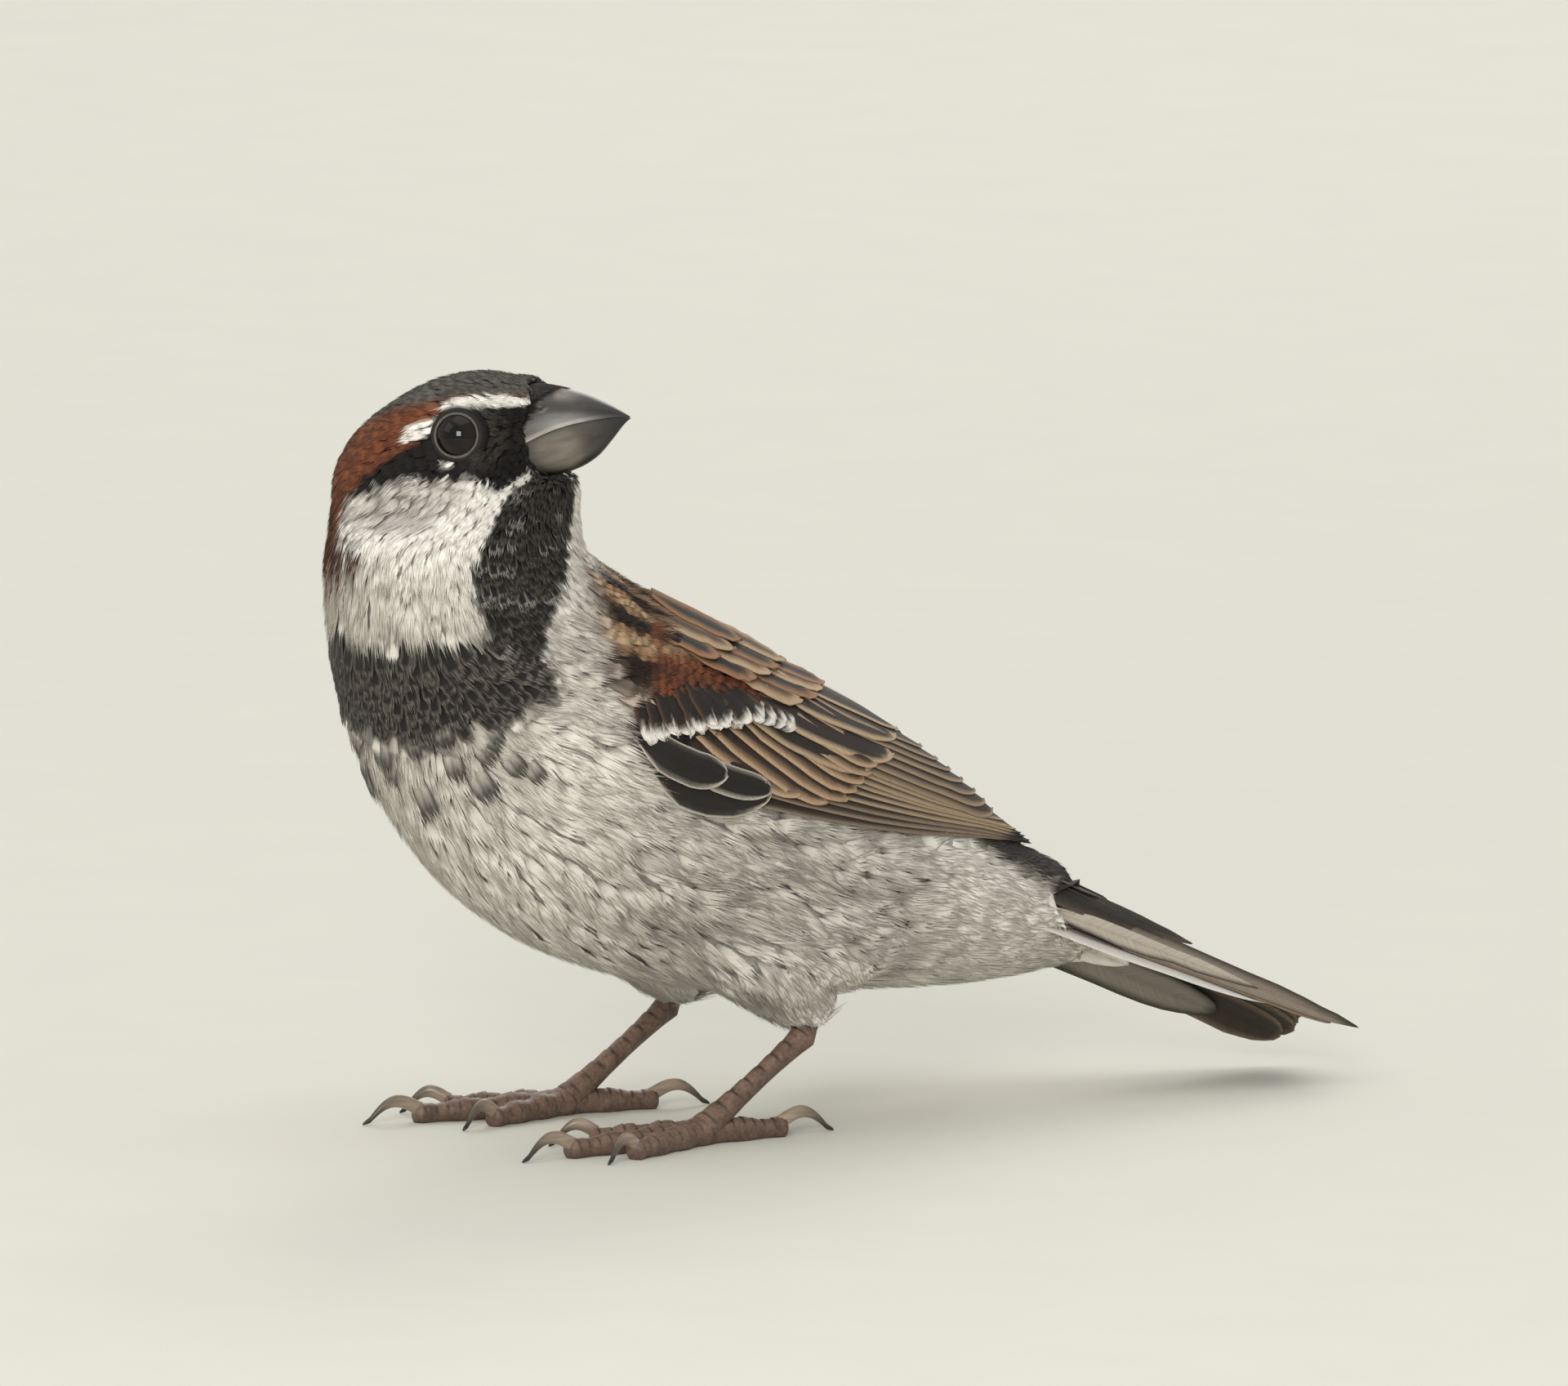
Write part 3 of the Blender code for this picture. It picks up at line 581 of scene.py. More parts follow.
def markings(points, crisp=1.0):
    """The bird's markings at each place; crisp above 1 makes every edge sharper."""
    p = np.asarray(points, float)
    q = in_head(p)
    forward, high, aside = -q[:, 1], q[:, 2], np.abs(q[:, 0])
    turn, turn12 = neck_turn(p), breast_turn(p)
    z, y = p[:, 2], p[:, 1]
    wob = mottle(p, 2.2) * 0.5 + mottle(p, 0.9, 2) * 0.35
    e = 0.42 / crisp
    coat = Coat(p)

    # Underparts: greyish at the sides, whiter along the belly and under the tail.
    belly = soft(14 - np.abs(p[:, 0]), 7) * soft(34 - z + 0.25 * y, 9)
    coat.lay(belly, BELLY, WHITE, 0.3, 0.05)
    flank = soft(np.abs(p[:, 0]) - 9, 5) * soft(36 - z, 8) * soft(y + 12, 9) * soft(34 - y, 9)
    coat.lay(0.55 * flank, ASH, BREAST, 0.5, 0.25)
    fleck = flank * soft(mottle(p * (1, 0.6, 1.3), 3.4, 5) - 0.16, 0.12)
    coat.lay(0.5 * fleck, (0.17, 0.145, 0.12), BREAST, 0.5, 0.3)
    vent = soft(y - 34, 6)
    coat.lay(vent, (0.80, 0.77, 0.70), WHITE, 0.4, 0.1)

    # Sides of neck and breast: pale, streaked grey towards the wing.
    side = soft(z - 49, 4) * soft(-8 - y, 3)
    coat.lay(0.9 * side, (0.70, 0.66, 0.59), WHITE, 0.25, 0.1)
    streaked = side * soft(turn - 95, 14) * soft(62 - z, 3)
    coat.lay(0.6 * streaked, ASH, (0.55, 0.5, 0.43), 0.4, 0.3)

    # Back: chestnut and buff with black streaks, greyer on the rump, dark over the tail.
    ridge = np.interp(y, *np.array(WING_UPPER).T[1:])
    band = np.sin(np.abs(p[:, 0]) * 1.75 + 0.8 * mottle(p, 6, 3) + 0.4)
    coat.lay(soft(y - 8, 4) * soft(z - ridge + 5, 3), RUMP, (0.29, 0.24, 0.18), 0.5, 0.15)
    tail_y = (p - TAIL_ROOT) @ TAIL_AXES
    middle = np.interp(y, *np.array(SPINE[6::-1]).T)
    from_top = np.degrees(np.arctan2(np.abs(p[:, 0]), z - middle))
    sides = soft(tail_y[:, 2] - 0.2, 0.8) * soft(y - 30, 4)
    coat.lay(sides, (0.50, 0.455, 0.385), (0.62, 0.57, 0.49), 0.6, 0.2, 0.3)
    over = soft(52 - from_top + 6 * wob, 8) * soft(y - 26, 4)
    coat.lay(over, RUMP, (0.30, 0.25, 0.19), 0.5, 0.25, 0.4)
    over = soft(60 - from_top + 6 * wob, 6) * soft(y - 38, 3)
    coat.lay(over, (0.028, 0.023, 0.019), DUSK_TIP, 0.4, 0.3, 0.8)
    over = soft(tail_y[:, 1] - 20.5, 1.0) * soft(tail_y[:, 2] + 0.3, 0.8)
    coat.lay(over, DUSK, DUSK_TIP, 0.4, 0.3, 0.8)

    # Nape and hind neck, which twist from the head round to the middle of the back.
    nape_at = np.interp(z, (46, 52, 58, 64, 70), (-180, -155, -110, -62, -53))
    nape_wide = np.interp(z, (46, 52, 58, 61, 62, 64, 66, 68, 72), (40, 46, 58, 70, 80, 71, 42, 37, 40))
    off_nape = np.abs(turn_between(turn, nape_at))
    nape = soft((nape_wide - off_nape + 9 * wob) * 0.25, e * 1.5)
    nape *= soft(z - 53, 2.5) * soft(74 - z, 3)
    coat.lay(nape, CHESTNUT, MANTLE, 0.4, 0.15)
    inner = soft((nape_wide * 0.45 - off_nape) * 0.25, e * 2)
    coat.lay(nape * inner * soft(z - 60, 3), (0.16, 0.10, 0.065), RUMP, 0.4, 0.15)
    back = soft(y + 14.3 + 0.8 * wob, 1.4) * soft(z - ridge + 6, 3)
    back = back * soft(64.5 - z, 1.0) * soft(15 - y + 4 * wob, 6)
    coat.lay(back, MANTLE, BUFF, 0.75, 0.2, 0.8)
    coat.lay(back * soft(band - 0.1, 0.3), BLACK, DARK_CHESTNUT, 0.5, 0.6, 0.8)
    coat.lay(back * soft(-band - 0.72, 0.2), BUFF, PALE_BUFF, 0.6, 0.1, 0.8)
    near_edge = turn_between(turn, nape_at + nape_wide)
    patch = soft((14 - np.abs(near_edge + 13) + 6 * wob) * 0.25, e * 1.5)
    patch = patch * soft(z - 60.8, 0.8) * soft(66 - z, 0.7)
    coat.lay(0.85 * patch, (0.05, 0.03, 0.02), DARK_CHESTNUT, 0.4, 0.3)

    # Head: grey cap, chestnut band from the eye to the nape, pale cheek.
    cheek_top = np.interp(forward, (-12.5, -11.5, -8.2, -4.3, -1.6, 1.1, 4.9, 6.8, 7.6, 8.6, 10.6),
                          (-3.6, -2.8, -1.9, -1.15, -0.6, -1.4, -1.95, -2.6, -3.7, -3.9, -2.5))
    over_cheek = soft(high - cheek_top + 0.45 * wob, e)
    above = over_cheek * soft(z - 66, 1.5)
    top_edge = np.interp(forward, (-12, -6, 0, 4, 8, 12), (6.0, 6.6, 6.3, 6.4, 6.2, 5.6))
    coat.lay(above, CHESTNUT, DARK_CHESTNUT, 0.35, 0.2)
    cap = above * soft(high - top_edge + 0.6 * wob + 0.35 * (4.5 - aside), 0.9)
    coat.lay(cap, GREY_CAP, (0.19, 0.17, 0.145), 0.45, 0.2)
    # The dark mask: lores, round the eye and a bar behind it.
    roof = np.interp(forward, (-12, -10, -7, -4, -1, 1.2, 2.6, 5, 9, 12),
                     (-3.0, -1.9, 0.2, 1.6, 2.7, 3.8, 5.5, 5.9, 5.4, 4.8))
    dark = np.minimum(roof - high, 12.6 - forward)
    coat.lay(0.6 * above * (1 - cap) * soft(dark + 1.0, 1.4), DARK_CHESTNUT, CHESTNUT, 0.3, 0.1)
    coat.lay(above * soft(dark + 0.5 * wob, e), BLACK, SOOT, 0.3, 0.1)
    # White marks before, behind and under the eye.
    for line, drift, edge in (
            (((3.0, 6.25, 0.3), (4.6, 6.45, 0.55), (7.6, 6.1, 0.72), (10.0, 5.5, 0.5), (11.6, 4.95, 0.3)),
             0.22, 0.6),
            (((-0.6, 4.2, 0.85), (0.9, 4.4, 0.8), (2.4, 4.95, 0.3)), 0.25, 0.6),
            (((1.7, 0.5, 0.24), (2.5, 0.12, 0.40), (3.5, -0.12, 0.24)), 0.12, 0.5)):
        coat.lay(soft(stroke(forward, high, line) + drift * wob, e * edge), WHITE, WHITE, 0.1, 0.0)
    # Fine paler arcs in the mask before the eye.
    for side in (-1, 1):
        r, rise = round_eye(q, side)
        arc = soft(4.9 - r, 0.5) * soft(forward - 4.6, 1.0) * (rise > 0) * above * soft(dark, e)
        arc = arc * soft(np.sin(r * 7.5 + 1.5 * wob) - 0.1, 0.4)
        coat.lay(arc, (0.03, 0.026, 0.023), (0.18, 0.16, 0.14), 0.7, 0.0, 0.4)
    # Cheek, greyer in its middle, with a white border behind and in front.
    cheek = (1 - over_cheek) * soft(z - 63, 2) * (1 - nape)
    coat.lay(cheek, WHITE, WHITE, 0.2, 0.1)
    grey = stroke(forward, high, ((-9.0, -4.0, 1.3), (-4.5, -3.6, 2.4), (0.5, -3.2, 2.2), (3.4, -2.8, 1.2)))
    coat.lay(0.62 * cheek * soft(grey + 0.6 * wob, 1.4), (0.36, 0.33, 0.29), CHEEK, 0.3, 0.35)

    # Bib: black from the chin down the turned throat, and across the breast.
    left = np.interp(z, (52, 53.5, 55, 58, 61, 63, 66.5, 69.2, 71, 72.4, 73.8, 75),
                     (58, 66, 71, 70, 66, 64.5, 68, 75, 80, 86, 93.5, 99))
    right = np.interp(z, (50, 52, 55, 58, 62, 64.7, 68, 71.7, 73, 74.2, 75.2),
                      (89, 91, 93, 93, 104, 111, 120, 122, 135, 160, 190))
    inside = np.minimum(turn_between(turn, left), -turn_between(turn, right)) * 0.24
    column = soft(inside + 0.4 * wob, e) * soft(z - 50.5, 0.8) * soft(76.5 - z, 0.6) * (1 - above)
    beyond = turn_between(turn, right) * 0.24
    strip = soft(beyond + 0.1, e) * soft(3.2 - beyond, 0.8)
    coat.lay(strip * soft(z - 58, 2) * soft(75 - z, 1) * (1 - above), WHITE, WHITE, 0.1, 0.0)
    malar = stroke(forward, high, ((10.5, -2.75, 0.22), (9.3, -3.4, 0.34), (8.1, -4.3, 0.5)))
    coat.lay(column, BLACK, (0.30, 0.27, 0.23), 0.42, 0.0, 0.85)
    rows = soft(np.sin(z * 2.3 + 2.2 * mottle(p, 5, 21)) - 0.2, 0.3)
    rows = rows * soft(mottle(p * (1, 1, 0.6), 1.8, 22) + 0.06, 0.12)
    coat.lay(column * rows * soft(72.5 - z, 1.0), BLACK, (0.80, 0.76, 0.68), 0.62, 0.0, 0.9)
    coat.lay(soft(malar, e * 0.5), WHITE, WHITE, 0.1, 0.0)
    lower = np.interp(turn12, (-60, -30, -10, 10, 25, 40, 50, 60),
                      (48, 45.5, 44, 43.6, 43.8, 45.5, 47.6, 50))
    upper = np.interp(turn12, (-60, -40, -10, 10, 25, 40, 56, 64),
                      (51, 53, 53.4, 53.8, 54.8, 55.5, 54, 50.5))
    across = np.minimum(turn12 + 44, 60 - turn12) * 0.3
    plate = np.minimum(np.minimum(upper - z, z - lower), across) + 0.55 * wob
    plate = soft(plate, e * 1.6) * soft(-10 - y, 1.5)
    coat.lay(plate, (0.018, 0.016, 0.014), (0.40, 0.36, 0.31), 0.62, 0.0, 0.9)
    below = soft(lower + 0.6 - z, 0.8) * soft(z - lower + 8.5 + 2 * mottle(p, 4.0, 4), 2.0)
    below *= soft(across - 0.6 - 0.35 * (lower - z) + 0.8 * wob, 0.8) * soft(-10 - y, 1.5)
    coat.lay(0.6 * below, (0.62, 0.58, 0.51), BELLY, 0.3, 0.1, 0.25)

    # Lesser coverts: plain chestnut, with dark bases towards the front edge of the wing.
    along, up, away = on_wing(p).T
    shoulder = soft(1.6 - away, 0.3) * soft(up - bar_line(along) + 0.16, 0.04)
    shoulder *= soft(along - 0.085 + 0.02 * wob, 0.015) * soft(0.42 - along, 0.02)
    coat.lay(shoulder, CHESTNUT, (0.27, 0.10, 0.045), 0.4, 0.15, 0.7)
    near_bar = shoulder * soft(bar_line(along) + 0.05 - up, 0.03)
    coat.lay(near_bar, (0.022, 0.018, 0.015), SOOT, 0.4, 0.1, 0.7)
    darker = stroke(along * WING_RUN, up * 18,
                    ((6.5, 12.2, 1.2), (12.0, 10.6, 2.0), (20, 9.8, 1.6), (26, 10.2, 0.8)))
    coat.lay(0.75 * shoulder * soft(darker + 0.6 * wob, 0.9), DARK_CHESTNUT, BLACK, 0.5, 0.3)
    # Scapulars, streaked like the back.
    scap = soft(up - 0.80, 0.05) * soft(1.1 - away, 0.3) * soft(along - 0.06, 0.02)
    scap = scap * soft(0.52 - along, 0.06)
    coat.lay(scap * soft(band, 0.35), BLACK, DARK_CHESTNUT, 0.5, 0.6)
    coat.lay(scap * soft(-band, 0.35), BUFF, PALE_BUFF, 0.7, 0.1)
    return coat


# ---------------------------------------------------------------- how the coat lies
def on_head(points, low, edge, reach):
    """1 on the head and 0 below it: from that height up, and within that reach of its centre."""
    return soft(points[:, 2] - low, edge) * soft(reach - np.linalg.norm(in_head(points), axis=1), 8)


def on_thigh(points, top, edge, out):
    """1 on the thighs, below that height and further out than that."""
    x, y, z = points.T
    return soft(top - z, edge) * soft(np.abs(x) - out, 2) * soft(y + 1, 3) * soft(20 - y, 3)


def lie(points, normals):
    """The way feathers point at each place: off the bill, over the head and down the body."""
    line = through(np.array([(0, y, z) for y, z in SPINE]), np.linspace(0, 1, 80))
    way = unit(line[:-1] - line[1:])
    middles = (line[:-1] + line[1:]) / 2
    nearest = np.argmin(((points[:, None, 1:] - middles[None, :, 1:]) ** 2).sum(-1), axis=1)
    flow = way[nearest]
    q = in_head(points)
    forward = -q[:, 1]
    radial = q * (1, 0, 1) + (0, 0, -1.5)
    near_bill = soft(forward - 7, 5)[:, None]
    head_way = np.array((0.0, 1.0, -0.12)) + unit(radial) * near_bill * 1.2
    head_way = head_way + np.array((0, 0, -1.0)) * (soft(-q[:, 2] - 1, 5) * soft(8 - forward, 6))[:, None]
    for side in (-1, 1):
        to_eye = EYE_PLACE * (side, 1, 1) - q
        away = np.linalg.norm(to_eye, axis=1, keepdims=True)
        pull = (head_way * unit(to_eye)).sum(1, keepdims=True)
        head_way = head_way - unit(to_eye) * np.maximum(pull, 0) * soft(5.2 - away, 1.6) * 1.1
    head_way = head_way @ HEAD_AXES.T
    headness = on_head(points, 66, 5, 26)[:, None]
    flow = unit(flow) * (1 - headness) + unit(head_way) * headness
    # Feathers of the breast's side sweep back over the front of the wing.
    x, y, z = points.T
    sweep = soft(-6 - y, 5) * soft(np.abs(x) - 11, 4) * soft(z - 34, 4) * soft(58 - z, 4)
    flow = flow + sweep[:, None] * np.array((0, 0.9, 0.15))
    # Along the wing's lower edge they run as it does.
    along, up, away = on_wing(points).T
    ahead = np.minimum(along + 0.03, 1)
    run = unit(through(WING_LOWER, ahead) - through(WING_LOWER, ahead - 0.05))
    run[:, 0] *= np.sign(x)
    edge = (soft(3.0 - away, 1.4) * soft(0.22 - up, 0.1) * soft(along - 0.14, 0.06))[:, None]
    flow = unit(flow) * (1 - edge) + (run + (0, 0, -0.12)) * edge
    # The thighs' feathers run down the leg.
    thigh = on_thigh(points, 19, 3, 6)[:, None]
    flow = flow * (1 - thigh) + thigh * unit(np.array((0.05, 4.3, -7.2)))
    flow = unit(flow)
    slope = (flow * normals).sum(1)
    return unit(flow - normals * slope[:, None]), slope


def feather_gauge(points):
    """How far apart the feathers stand: smallest on the face, larger down the body."""
    root = from_head(np.array((0, -13.0, 1.0)))
    away = np.linalg.norm(points - root, axis=1)
    gauge = np.minimum(0.45 + 0.024 * away, 1.5)
    return gauge * (1 - 0.35 * on_thigh(points, 17, 2, 7))


def feather_roots():
    """Evenly scattered roots over the coat, as close as each place's gauge asks."""
    faces = np.array([face[:3] for face in COAT_FACES]
                     + [(f[0], f[2], f[3]) for f in COAT_FACES if len(f) == 4])
    a, b, c = (COAT_POINTS[faces[:, k]] for k in range(3))
    weight = np.linalg.norm(np.cross(b - a, c - a), axis=1) / feather_gauge((a + b + c) / 3) ** 2
    pick = RNG.choice(len(faces), ROOT_TRIES, p=weight / weight.sum())
    r1, r2 = np.sqrt(RNG.random(ROOT_TRIES))[:, None], RNG.random(ROOT_TRIES)[:, None]
    spots = a[pick] * (1 - r1) + b[pick] * (r1 * (1 - r2)) + c[pick] * (r1 * r2)
    gauge = feather_gauge(spots) * np.where(markings(spots, 4.0).whole > 0.4, 0.78, 1.0)
    level = np.argmin(np.abs(gauge[:, None] - ROOT_STEPS), axis=1)
    around = list(itertools.product((-1, 0, 1), repeat=3))
    kept = []
    for n, step in enumerate(ROOT_STEPS):
        taken = {}
        for i in np.nonzero(level == n)[0]:
            x, y, z = np.floor(spots[i] / step).astype(int)
            others = (taken.get((x + dx, y + dy, z + dz)) for dx, dy, dz in around)
            if all(other is None or ((spots[other] - spots[i]) ** 2).sum() >= step * step
                   for other in others):
                taken[x, y, z] = i
        kept.extend(taken.values())
    kept = np.array(sorted(kept))
    return spots[kept], gauge[kept]


# ---------------------------------------------------------------- contour feathers
ROW_WIDE = (0.5, 0.94, 1.0)
TEETH = 8
COLS = np.linspace(-1, 1, TEETH + 1)
ACROSS = len(COLS)
KEELS = ACROSS * 3
TIPS = KEELS + TEETH
CORNERS = TIPS + TEETH
BARBS = (np.arange(TEETH) + 0.5) / TEETH * 2 - 1
LANES = 4


def feather_faces():
    """Corner lists of one closed feather: belly, root and barbs' undersides, then its back."""
    faces = [tuple(range(ACROSS - 1, -1, -1))]
    for r in range(2):
        faces.append((r * ACROSS, (r + 1) * ACROSS - 1, (r + 2) * ACROSS - 1, (r + 1) * ACROSS))
    last = KEELS - ACROSS
    end = [last]
    for t in range(TEETH):
        end += [KEELS + t, last + t + 1]
        faces.append((last + t, KEELS + t, TIPS + t))
        faces.append((KEELS + t, last + t + 1, TIPS + t))
    faces.append(tuple(end[::-1]))
    belly = len(faces)
    for r in range(2):
        for c in range(TEETH):
            k = r * ACROSS + c
            faces.append((k, k + ACROSS, k + ACROSS + 1, k + 1))
    for t in range(TEETH):
        faces.append((last + t, TIPS + t, last + t + 1))
    return faces, belly


FEATHER_FACES, FEATHER_BELLY = feather_faces()


def skin_depth(points):
    q = in_head(points)
    depth = COAT_DEPTH[1] + (COAT_DEPTH[0] - COAT_DEPTH[1]) * on_head(points, 64, 6, 24)
    for side in (-1, 1):
        r, rise = round_eye(q, side)
        depth = depth - (rise > 0) * soft(4.2 - r, 1.0) * (depth - 0.18)
    return depth


def chart_of_skin(points):
    """Each root's place on an unwrap of the skin: round the spine, and along it."""
    line = through(np.array([(0, y, z) for y, z in SPINE + CROWN]), np.linspace(0, 1, 120))
    nearest = np.argmin(((points[:, None, 1:] - line[None, :, 1:]) ** 2).sum(-1), axis=1)
    way = unit(np.gradient(line, axis=0))[nearest]
    off = points - line[nearest]
    rise = np.cross(way, np.array((1.0, 0, 0)))
    round_it = np.arctan2(off[:, 0], (off * rise).sum(1)) / (2 * math.pi) + 0.5
    span = (off * way).sum(1)
    length = np.concatenate([[0], np.cumsum(np.linalg.norm(np.diff(line, axis=0), axis=1))])
    along = (length[nearest] + span) / (length[-1] + 12)
    return np.column_stack([0.01 + 0.98 * round_it, 0.02 + 0.96 * along])


def grow_feathers(name, spots, gauge, look, long=None, lift=None, dress=None):
    """A closed, overlapping feather from each root, laid along the flow of the coat.

    look holds the finish, slot, length, width, lift, raggedness, spread and droop of the barbs, and
    where along it they part. long and lift take the place of its own where they differ by root.
    """
    finish, slot, own_long, wide, own_lift, ragged, spread, sag, part = look
    long = own_long if long is None else long
    lift = own_lift if lift is None else lift
    count = len(spots)
    rows = (0.0, part * 0.55, part)
    length = gauge * long * RNG.uniform(0.85, 1.15, count)
    half = gauge * wide * RNG.uniform(0.88, 1.12, count)
    at, out = settle_on_coat(spots)
    sway = RNG.normal(0, 0.10, count) + 0.22 * ragged * mottle(spots, 3.2, 11)
    depth = skin_depth(spots)
    spine, outs, ways = [], [], []
    stations = (*rows, 1.0)
    for k, t in enumerate(stations):
        way, _ = lie(at, out)
        way = unit(way + np.cross(out, way) * sway[:, None])
        spine.append(at)
        outs.append(out)
        ways.append(way)
        if k + 1 < len(stations):
            step = (stations[k + 1] - t) * length
            at, out = settle_on_coat(at + way * step[:, None])
    points = np.empty((count, CORNERS, 3))
    last = KEELS - ACROSS
    for k, t in enumerate(rows):
        height = -depth * 0.92 * (1 - t / 0.8) ** 1.3 + (0.06 + lift) * t
        side = np.cross(ways[k], outs[k])
        for c, v in enumerate(COLS):
            aside = half * ROW_WIDE[k] * v
            droop = -sag * gauge * v * v * (0.6 + t)
            points[:, k * ACROSS + c] = spine[k] + side * aside[:, None] + outs[k] * (height + droop)[:, None]
    side = np.cross(ways[-1], outs[-1])
    for t, v in enumerate(BARBS):
        low = (points[:, last + t] + points[:, last + t + 1]) / 2
        points[:, KEELS + t] = low - outs[2] * 0.09 - ways[2] * 0.05
        reach = np.clip(1 - 0.26 * v * v - ragged * 0.36 * RNG.random(count), 0.2, 1)
        base = spine[2] + (spine[3] - spine[2]) * reach[:, None]
        aside = half * (spread * v + RNG.normal(0, 0.04 + 0.09 * ragged, count))
        height = (0.06 + lift) * (part + (1 - part) * reach) - sag * gauge * v * v * 1.2
        height = height + RNG.normal(0, 0.02 + 0.03 * ragged, count)
        points[:, TIPS + t] = base + side * aside[:, None] + outs[3] * height[:, None]

    # A pattern of its own, from where its heart lies.
    coat = markings(spine[2] + ways[2] * (0.1 * length)[:, None], crisp=6.0)
    tone = 1 + RNG.normal(0, 0.04, count)
    if dress:
        coat.lay(np.ones(count), *dress)
    # Markings that cross it, barb by barb, each a little early or late.
    lanes = np.empty((count, LANES, 2, 3))
    aside = np.cross(ways[2], outs[2])[:, None]
    lane_at = (np.arange(LANES) + 0.5) / LANES * 2 - 1
    for station, (middle, wide_at) in enumerate(((spine[2], 0.9), (spine[3], spread))):
        early = RNG.normal(0, 0.10, (count, LANES)) * length[:, None]
        early = (early + (0.1 - 0.12 * station) * length[:, None])[..., None]
        beside = (half[:, None] * lane_at * wide_at)[..., None]
        where = middle[:, None] + ways[2][:, None] * early + aside * beside
        seen = markings(where.reshape(-1, 3), crisp=2.5)
        mix = np.clip(seen.fringe * 0.5 * station, 0, 1)
        lanes[:, :, station] = blend(seen.ground, seen.tip, mix).reshape(count, LANES, 3)
    shades = np.empty((count, CORNERS, 3))
    lane_of = np.arange(TEETH) * LANES // TEETH
    for k in range(3):
        for c, v in enumerate(COLS):
            edge = np.clip(soft(abs(v) - 0.78, 0.2) * 0.8, 0, 1) * coat.fringe**1.8
            # Dressed feathers paint their last row black: a painted shadow at the feather's end.
            if dress and k == 2:
                edge = np.maximum(edge, 0.72 + 0.2 * (c % 2))
            mark = coat.shaft * max(0.0, 1 - abs(v) * 3.2)
            own = blend(coat.ground, coat.tip, edge) * (1 - mark)[:, None]
            lane = lanes[:, lane_of[min(c, TEETH - 1)], 0]
            # Rows nearer the root are painted darker: painted shade under the feathers that overlap them.
            shades[:, k * ACROSS + c] = blend(lane, own, coat.whole) * (0.8, 0.93, 1.0)[k]
    for t in range(TEETH):
        strand = np.clip(1 + RNG.normal(0, 0.13, count), 0.6, 1.35)[:, None]
        # Dressed feathers take the dark tip on every tooth, the same painted shadow.
        tipped = RNG.random(count) < (1 if dress else 0.62)
        edge = np.clip(coat.fringe * np.where(tipped, RNG.uniform(1.1, 1.6, count), 0.4), 0, 1)
        own = blend(coat.ground, coat.tip, edge)
        shades[:, TIPS + t] = blend(lanes[:, lane_of[t], 1], own, coat.whole) * strand
        # The undersides between the teeth are painted at two thirds of their neighbours: painted shade in the
        # gaps between barbs.
        shades[:, KEELS + t] = (shades[:, last + t] + shades[:, last + t + 1]) * 0.33
    shades *= tone[:, None, None]
    mesh = feather_mesh(name, points, shades, spots, length, half, rows)
    join_model(new_piece(name, mesh, finish), slot)


def feather_mesh(name, points, shades, spots, length, half, rows):
    count = len(points)
    corners = np.concatenate([np.array(face) for face in FEATHER_FACES])
    sizes = np.array([len(face) for face in FEATHER_FACES])
    loops = (corners[None, :] + CORNERS * np.arange(count)[:, None]).ravel()
    mesh = mesh_of_arrays(name, place(points.reshape(-1, 3)), loops, np.tile(sizes, count))
    paint(mesh, shades.reshape(-1, 3))
    local = np.array([(v, t) for t in rows for v in COLS] + [(v, rows[-1]) for v in BARBS]
                     + [(v, 1.0) for v in BARBS])
    drawn = local[corners]
    vane = np.empty((count, len(corners), 2))
    vane[:, :, 0] = drawn[None, :, 0] * half[:, None]
    vane[:, :, 1] = drawn[None, :, 1] * length[:, None] + (np.arange(count) * 3.7 % 50)[:, None]
    add_uv(mesh, "Vane", vane)
    centre = chart_of_skin(spots)
    add_uv(mesh, "OFBake", centre[:, None] + PATCH * np.column_stack([drawn[:, 0] / 2, drawn[:, 1] - 0.5]))
    smooth = np.tile(np.arange(len(FEATHER_FACES)) >= FEATHER_BELLY, count)
    mesh.polygons.foreach_set("use_smooth", smooth)
    return mesh


# Finish, slot, length, width, lift, raggedness, spread and droop of the barbs, where they part.
REGION_LOOKS = {
    "face": (FACE_COAT, "head", 3.4, 0.72, 0.0, 1.4, 0.8, 0.03, 0.36),
    "crown": (FACE_COAT, "head", 3.4, 0.80, 0.0, 1.1, 0.7, 0.03, 0.42),
    "cheeks": (FACE_COAT, "head", 5.0, 0.64, 0.0, 1.9, 0.9, 0.02, 0.26),
    "lesser_coverts": (COAT, "covert", 3.0, 0.90, 0.12, 0.6, 0.6, 0.06, 0.62),
    "bib": (COAT, "neck", 3.8, 0.86, 0.02, 0.7, 0.75, 0.05, 0.66),
    "throat": (COAT, "neck", 5.0, 0.66, 0.0, 1.8, 0.9, 0.02, 0.26),
    "thighs": (COAT, "body", 4.8, 0.70, 0.10, 1.8, 0.9, 0.02, 0.34),
    "uppertail": (COAT, "rump", 4.6, 0.95, 0.03, 0.9, 0.8, 0.04, 0.5),
    "rump": (COAT, "rump", 4.4, 0.82, 0.04, 1.3, 0.9, 0.03, 0.38),
    "undertail": (COAT, "rump", 5.0, 0.90, 0.0, 1.2, 0.8, 0.02, 0.42),
    "mantle": (COAT, "body", 3.6, 0.92, 0.08, 0.7, 0.65, 0.06, 0.58),
    "breast": (COAT, "body", 5.2, 0.66, 0.0, 1.9, 0.9, 0.02, 0.26),
    "flanks": (COAT, "body", 5.6, 0.66, 0.02, 2.0, 1.0, 0.02, 0.26),
    "belly": (COAT, "body", 5.4, 0.68, 0.0, 1.9, 1.0, 0.02, 0.26),
}
